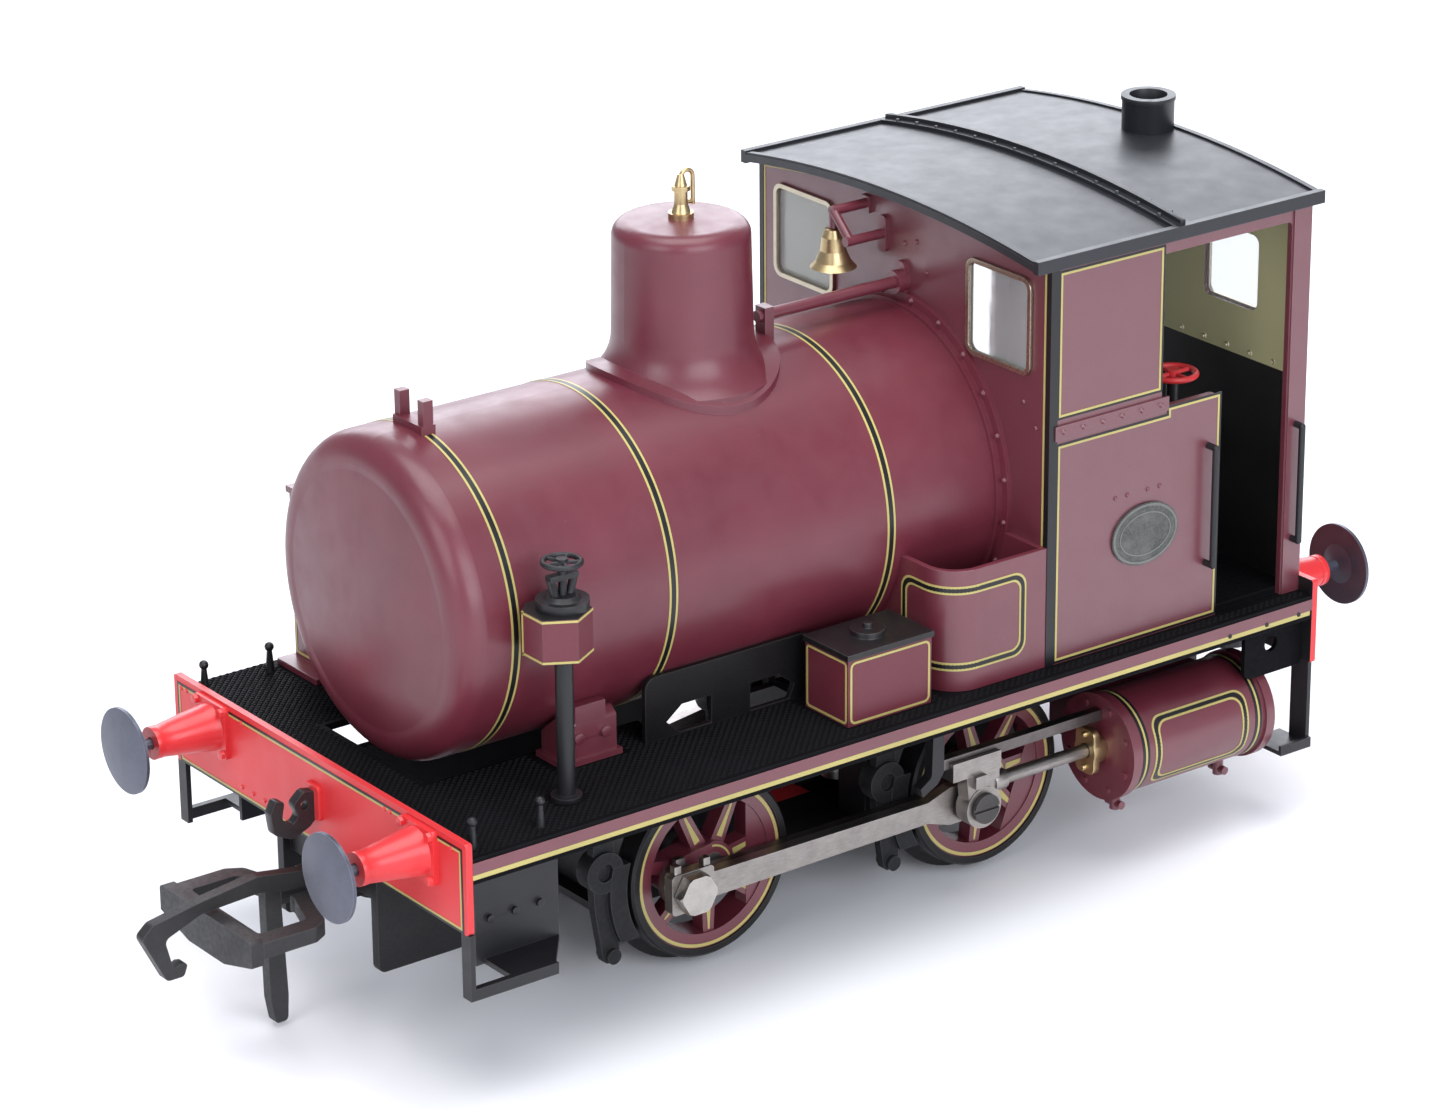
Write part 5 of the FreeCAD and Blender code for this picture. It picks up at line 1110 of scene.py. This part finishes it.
def roof_trim():
    """Rivets along the roof's rib and thin lips on its front and rear edges."""
    shape = Shape()
    for k in range(14):
        y = -13.0 + 2.0 * k
        for dx in (-0.47, 0.47):
            shape.stud((ROOF_RIB_X + dx, y, roof_height(y) + 0.3), (0, 0, 1), 0.16, 0.13, 8)
    for x0, x1 in ((ROOF.x1 - 0.45, ROOF.x1 - 0.05), (ROOF.x0 + 0.05, ROOF.x0 + 0.45)):
        rings = []
        for y in arc_stations(ROOF_HALF - 0.05, 32):
            z = roof_height(y)
            low, high = z - 0.1, z + 0.13
            rings.append(shape.ring([(x0, y, low), (x1, y, low), (x1, y, high), (x0, y, high)]))
        for a, b in zip(rings, rings[1:]):
            shape.bridge(a, b)
        shape.cap(rings[0], True)
        shape.cap(rings[-1])
    make("roof_rivets_and_lips", shape, roof_black)


def cab_trim():
    """Single rivets on the cab front and pairs of them above each oval plate."""
    shape = Shape()
    x = CAB_FRONT.x1
    for y, z in ((1.6, 40.7), (0.4, 40.3), (12.2, 33.0), (13.4, 31.6), (2.6, 38.9)):
        shape.stud((x, y, z), (1, 0, 0), 0.17, RIVET_H)
    for side in (1, -1):
        for dx in (-0.5, 0.5):
            for x in (-17.6, -20.3):
                shape.stud((x + dx, side * CAB_SIDE_FACE, 26.0), (0, side, 0), 0.15, 0.13)
    make("cab_rivets", shape, maroon)


def plate_oval(inset, points=72):
    """Outline of the oval plate, moved inwards."""
    centre = Vector(((PLATES.x0 + PLATES.x1) / 2, (PLATES.z0 + PLATES.z1) / 2))
    a, b = (PLATES.x1 - PLATES.x0) / 2 - inset, (PLATES.z1 - PLATES.z0) / 2 - inset
    turns = [2 * math.pi * k / points for k in range(points)]
    return [centre + Vector((a * math.cos(t), b * math.sin(t))) for t in turns]


def plate_rims():
    """Raised rim and inner line round each blank oval plate."""
    shape = Shape()
    for inset, width in (PLATE_RIM, PLATE_INNER_LINE):
        shape.line(side_plane(PLATES.y1), plate_oval(inset), width)
    shape.mirrored_y()
    make("oval_plate_rims", shape, plate_rim)


# ---------------------------------------------------------------- stage, light and camera
def floor_material():
    look = Look("studio_floor")
    slow = look.ramp(look.noise(40.0, 3.0), 0.3, 0.7, 0.0, 1.0)
    look.set_base(look.mix(slow, (0.86, 0.87, 0.9), (0.9, 0.905, 0.93)))
    look.shader.inputs["Roughness"].default_value = 0.75
    look.set_normal(look.bump(look.noise(0.8, 4.0), 0.02, 0.05))
    return look.material


def stage():
    """Wide pale sheet under the model."""
    floor = bpy.data.meshes.new("studio_floor")
    signs = ((-1, -1), (1, -1), (1, 1), (-1, 1))
    corners = [Vector((SHEET_HALF * x, SHEET_HALF * y, -0.02)) * MM for x, y in signs]
    floor.from_pydata(corners, [], [(0, 1, 2, 3)])
    floor.materials.append(floor_material())
    piece = bpy.data.objects.new("studio_floor", floor)
    bpy.context.scene.collection.objects.link(piece)


def area_light(name, place, size, power, colour):
    lamp = bpy.data.lights.new(name, "AREA")
    lamp.shape = "RECTANGLE"
    lamp.size = size[0] * MM
    lamp.size_y = size[1] * MM
    lamp.energy = power
    lamp.color = colour
    holder = bpy.data.objects.new(name, lamp)
    holder.location = Vector(place) * MM
    holder.rotation_euler = (Vector(LIT_POINT) - Vector(place)).to_track_quat("-Z", "Y").to_euler()
    bpy.context.scene.collection.objects.link(holder)


def lights():
    """Even sky and four softboxes."""
    world = bpy.data.worlds.new("studio")
    world.use_nodes = True
    sky = world.node_tree.nodes["Background"]
    sky.inputs["Color"].default_value = SKY_COLOUR
    sky.inputs["Strength"].default_value = SKY_STRENGTH
    bpy.context.scene.world = world
    for softbox in SOFTBOXES:
        area_light(*softbox)


def camera():
    """Camera above the left front corner, with a long lens."""
    place = Vector(CAMERA_PLACE) * MM
    forward = Vector(CAMERA_FORWARD).normalized()
    right = forward.cross(Vector((0, 0, 1))).normalized()
    roll = Matrix.Rotation(math.radians(CAMERA_ROLL), 3, forward)
    right = roll @ right
    up = right.cross(forward).normalized()
    rig = bpy.data.cameras.new("camera")
    rig.lens = CAMERA_LENS
    rig.sensor_width = 36.0
    rig.clip_start = 0.005
    holder = bpy.data.objects.new("camera", rig)
    holder.matrix_world = Matrix((
        (right.x, up.x, -forward.x, place.x),
        (right.y, up.y, -forward.y, place.y),
        (right.z, up.z, -forward.z, place.z),
        (0, 0, 0, 1)))
    bpy.context.scene.collection.objects.link(holder)
    bpy.context.scene.camera = holder


finish_nodes()
soften_edges()
line_cab()
line_reservoir()
line_body()
line_beams()
line_wheels()
chequer()
roof_trim()
cab_trim()
plate_rims()
stage()
lights()
camera()
bpy.context.scene.view_settings.view_transform = "Standard"
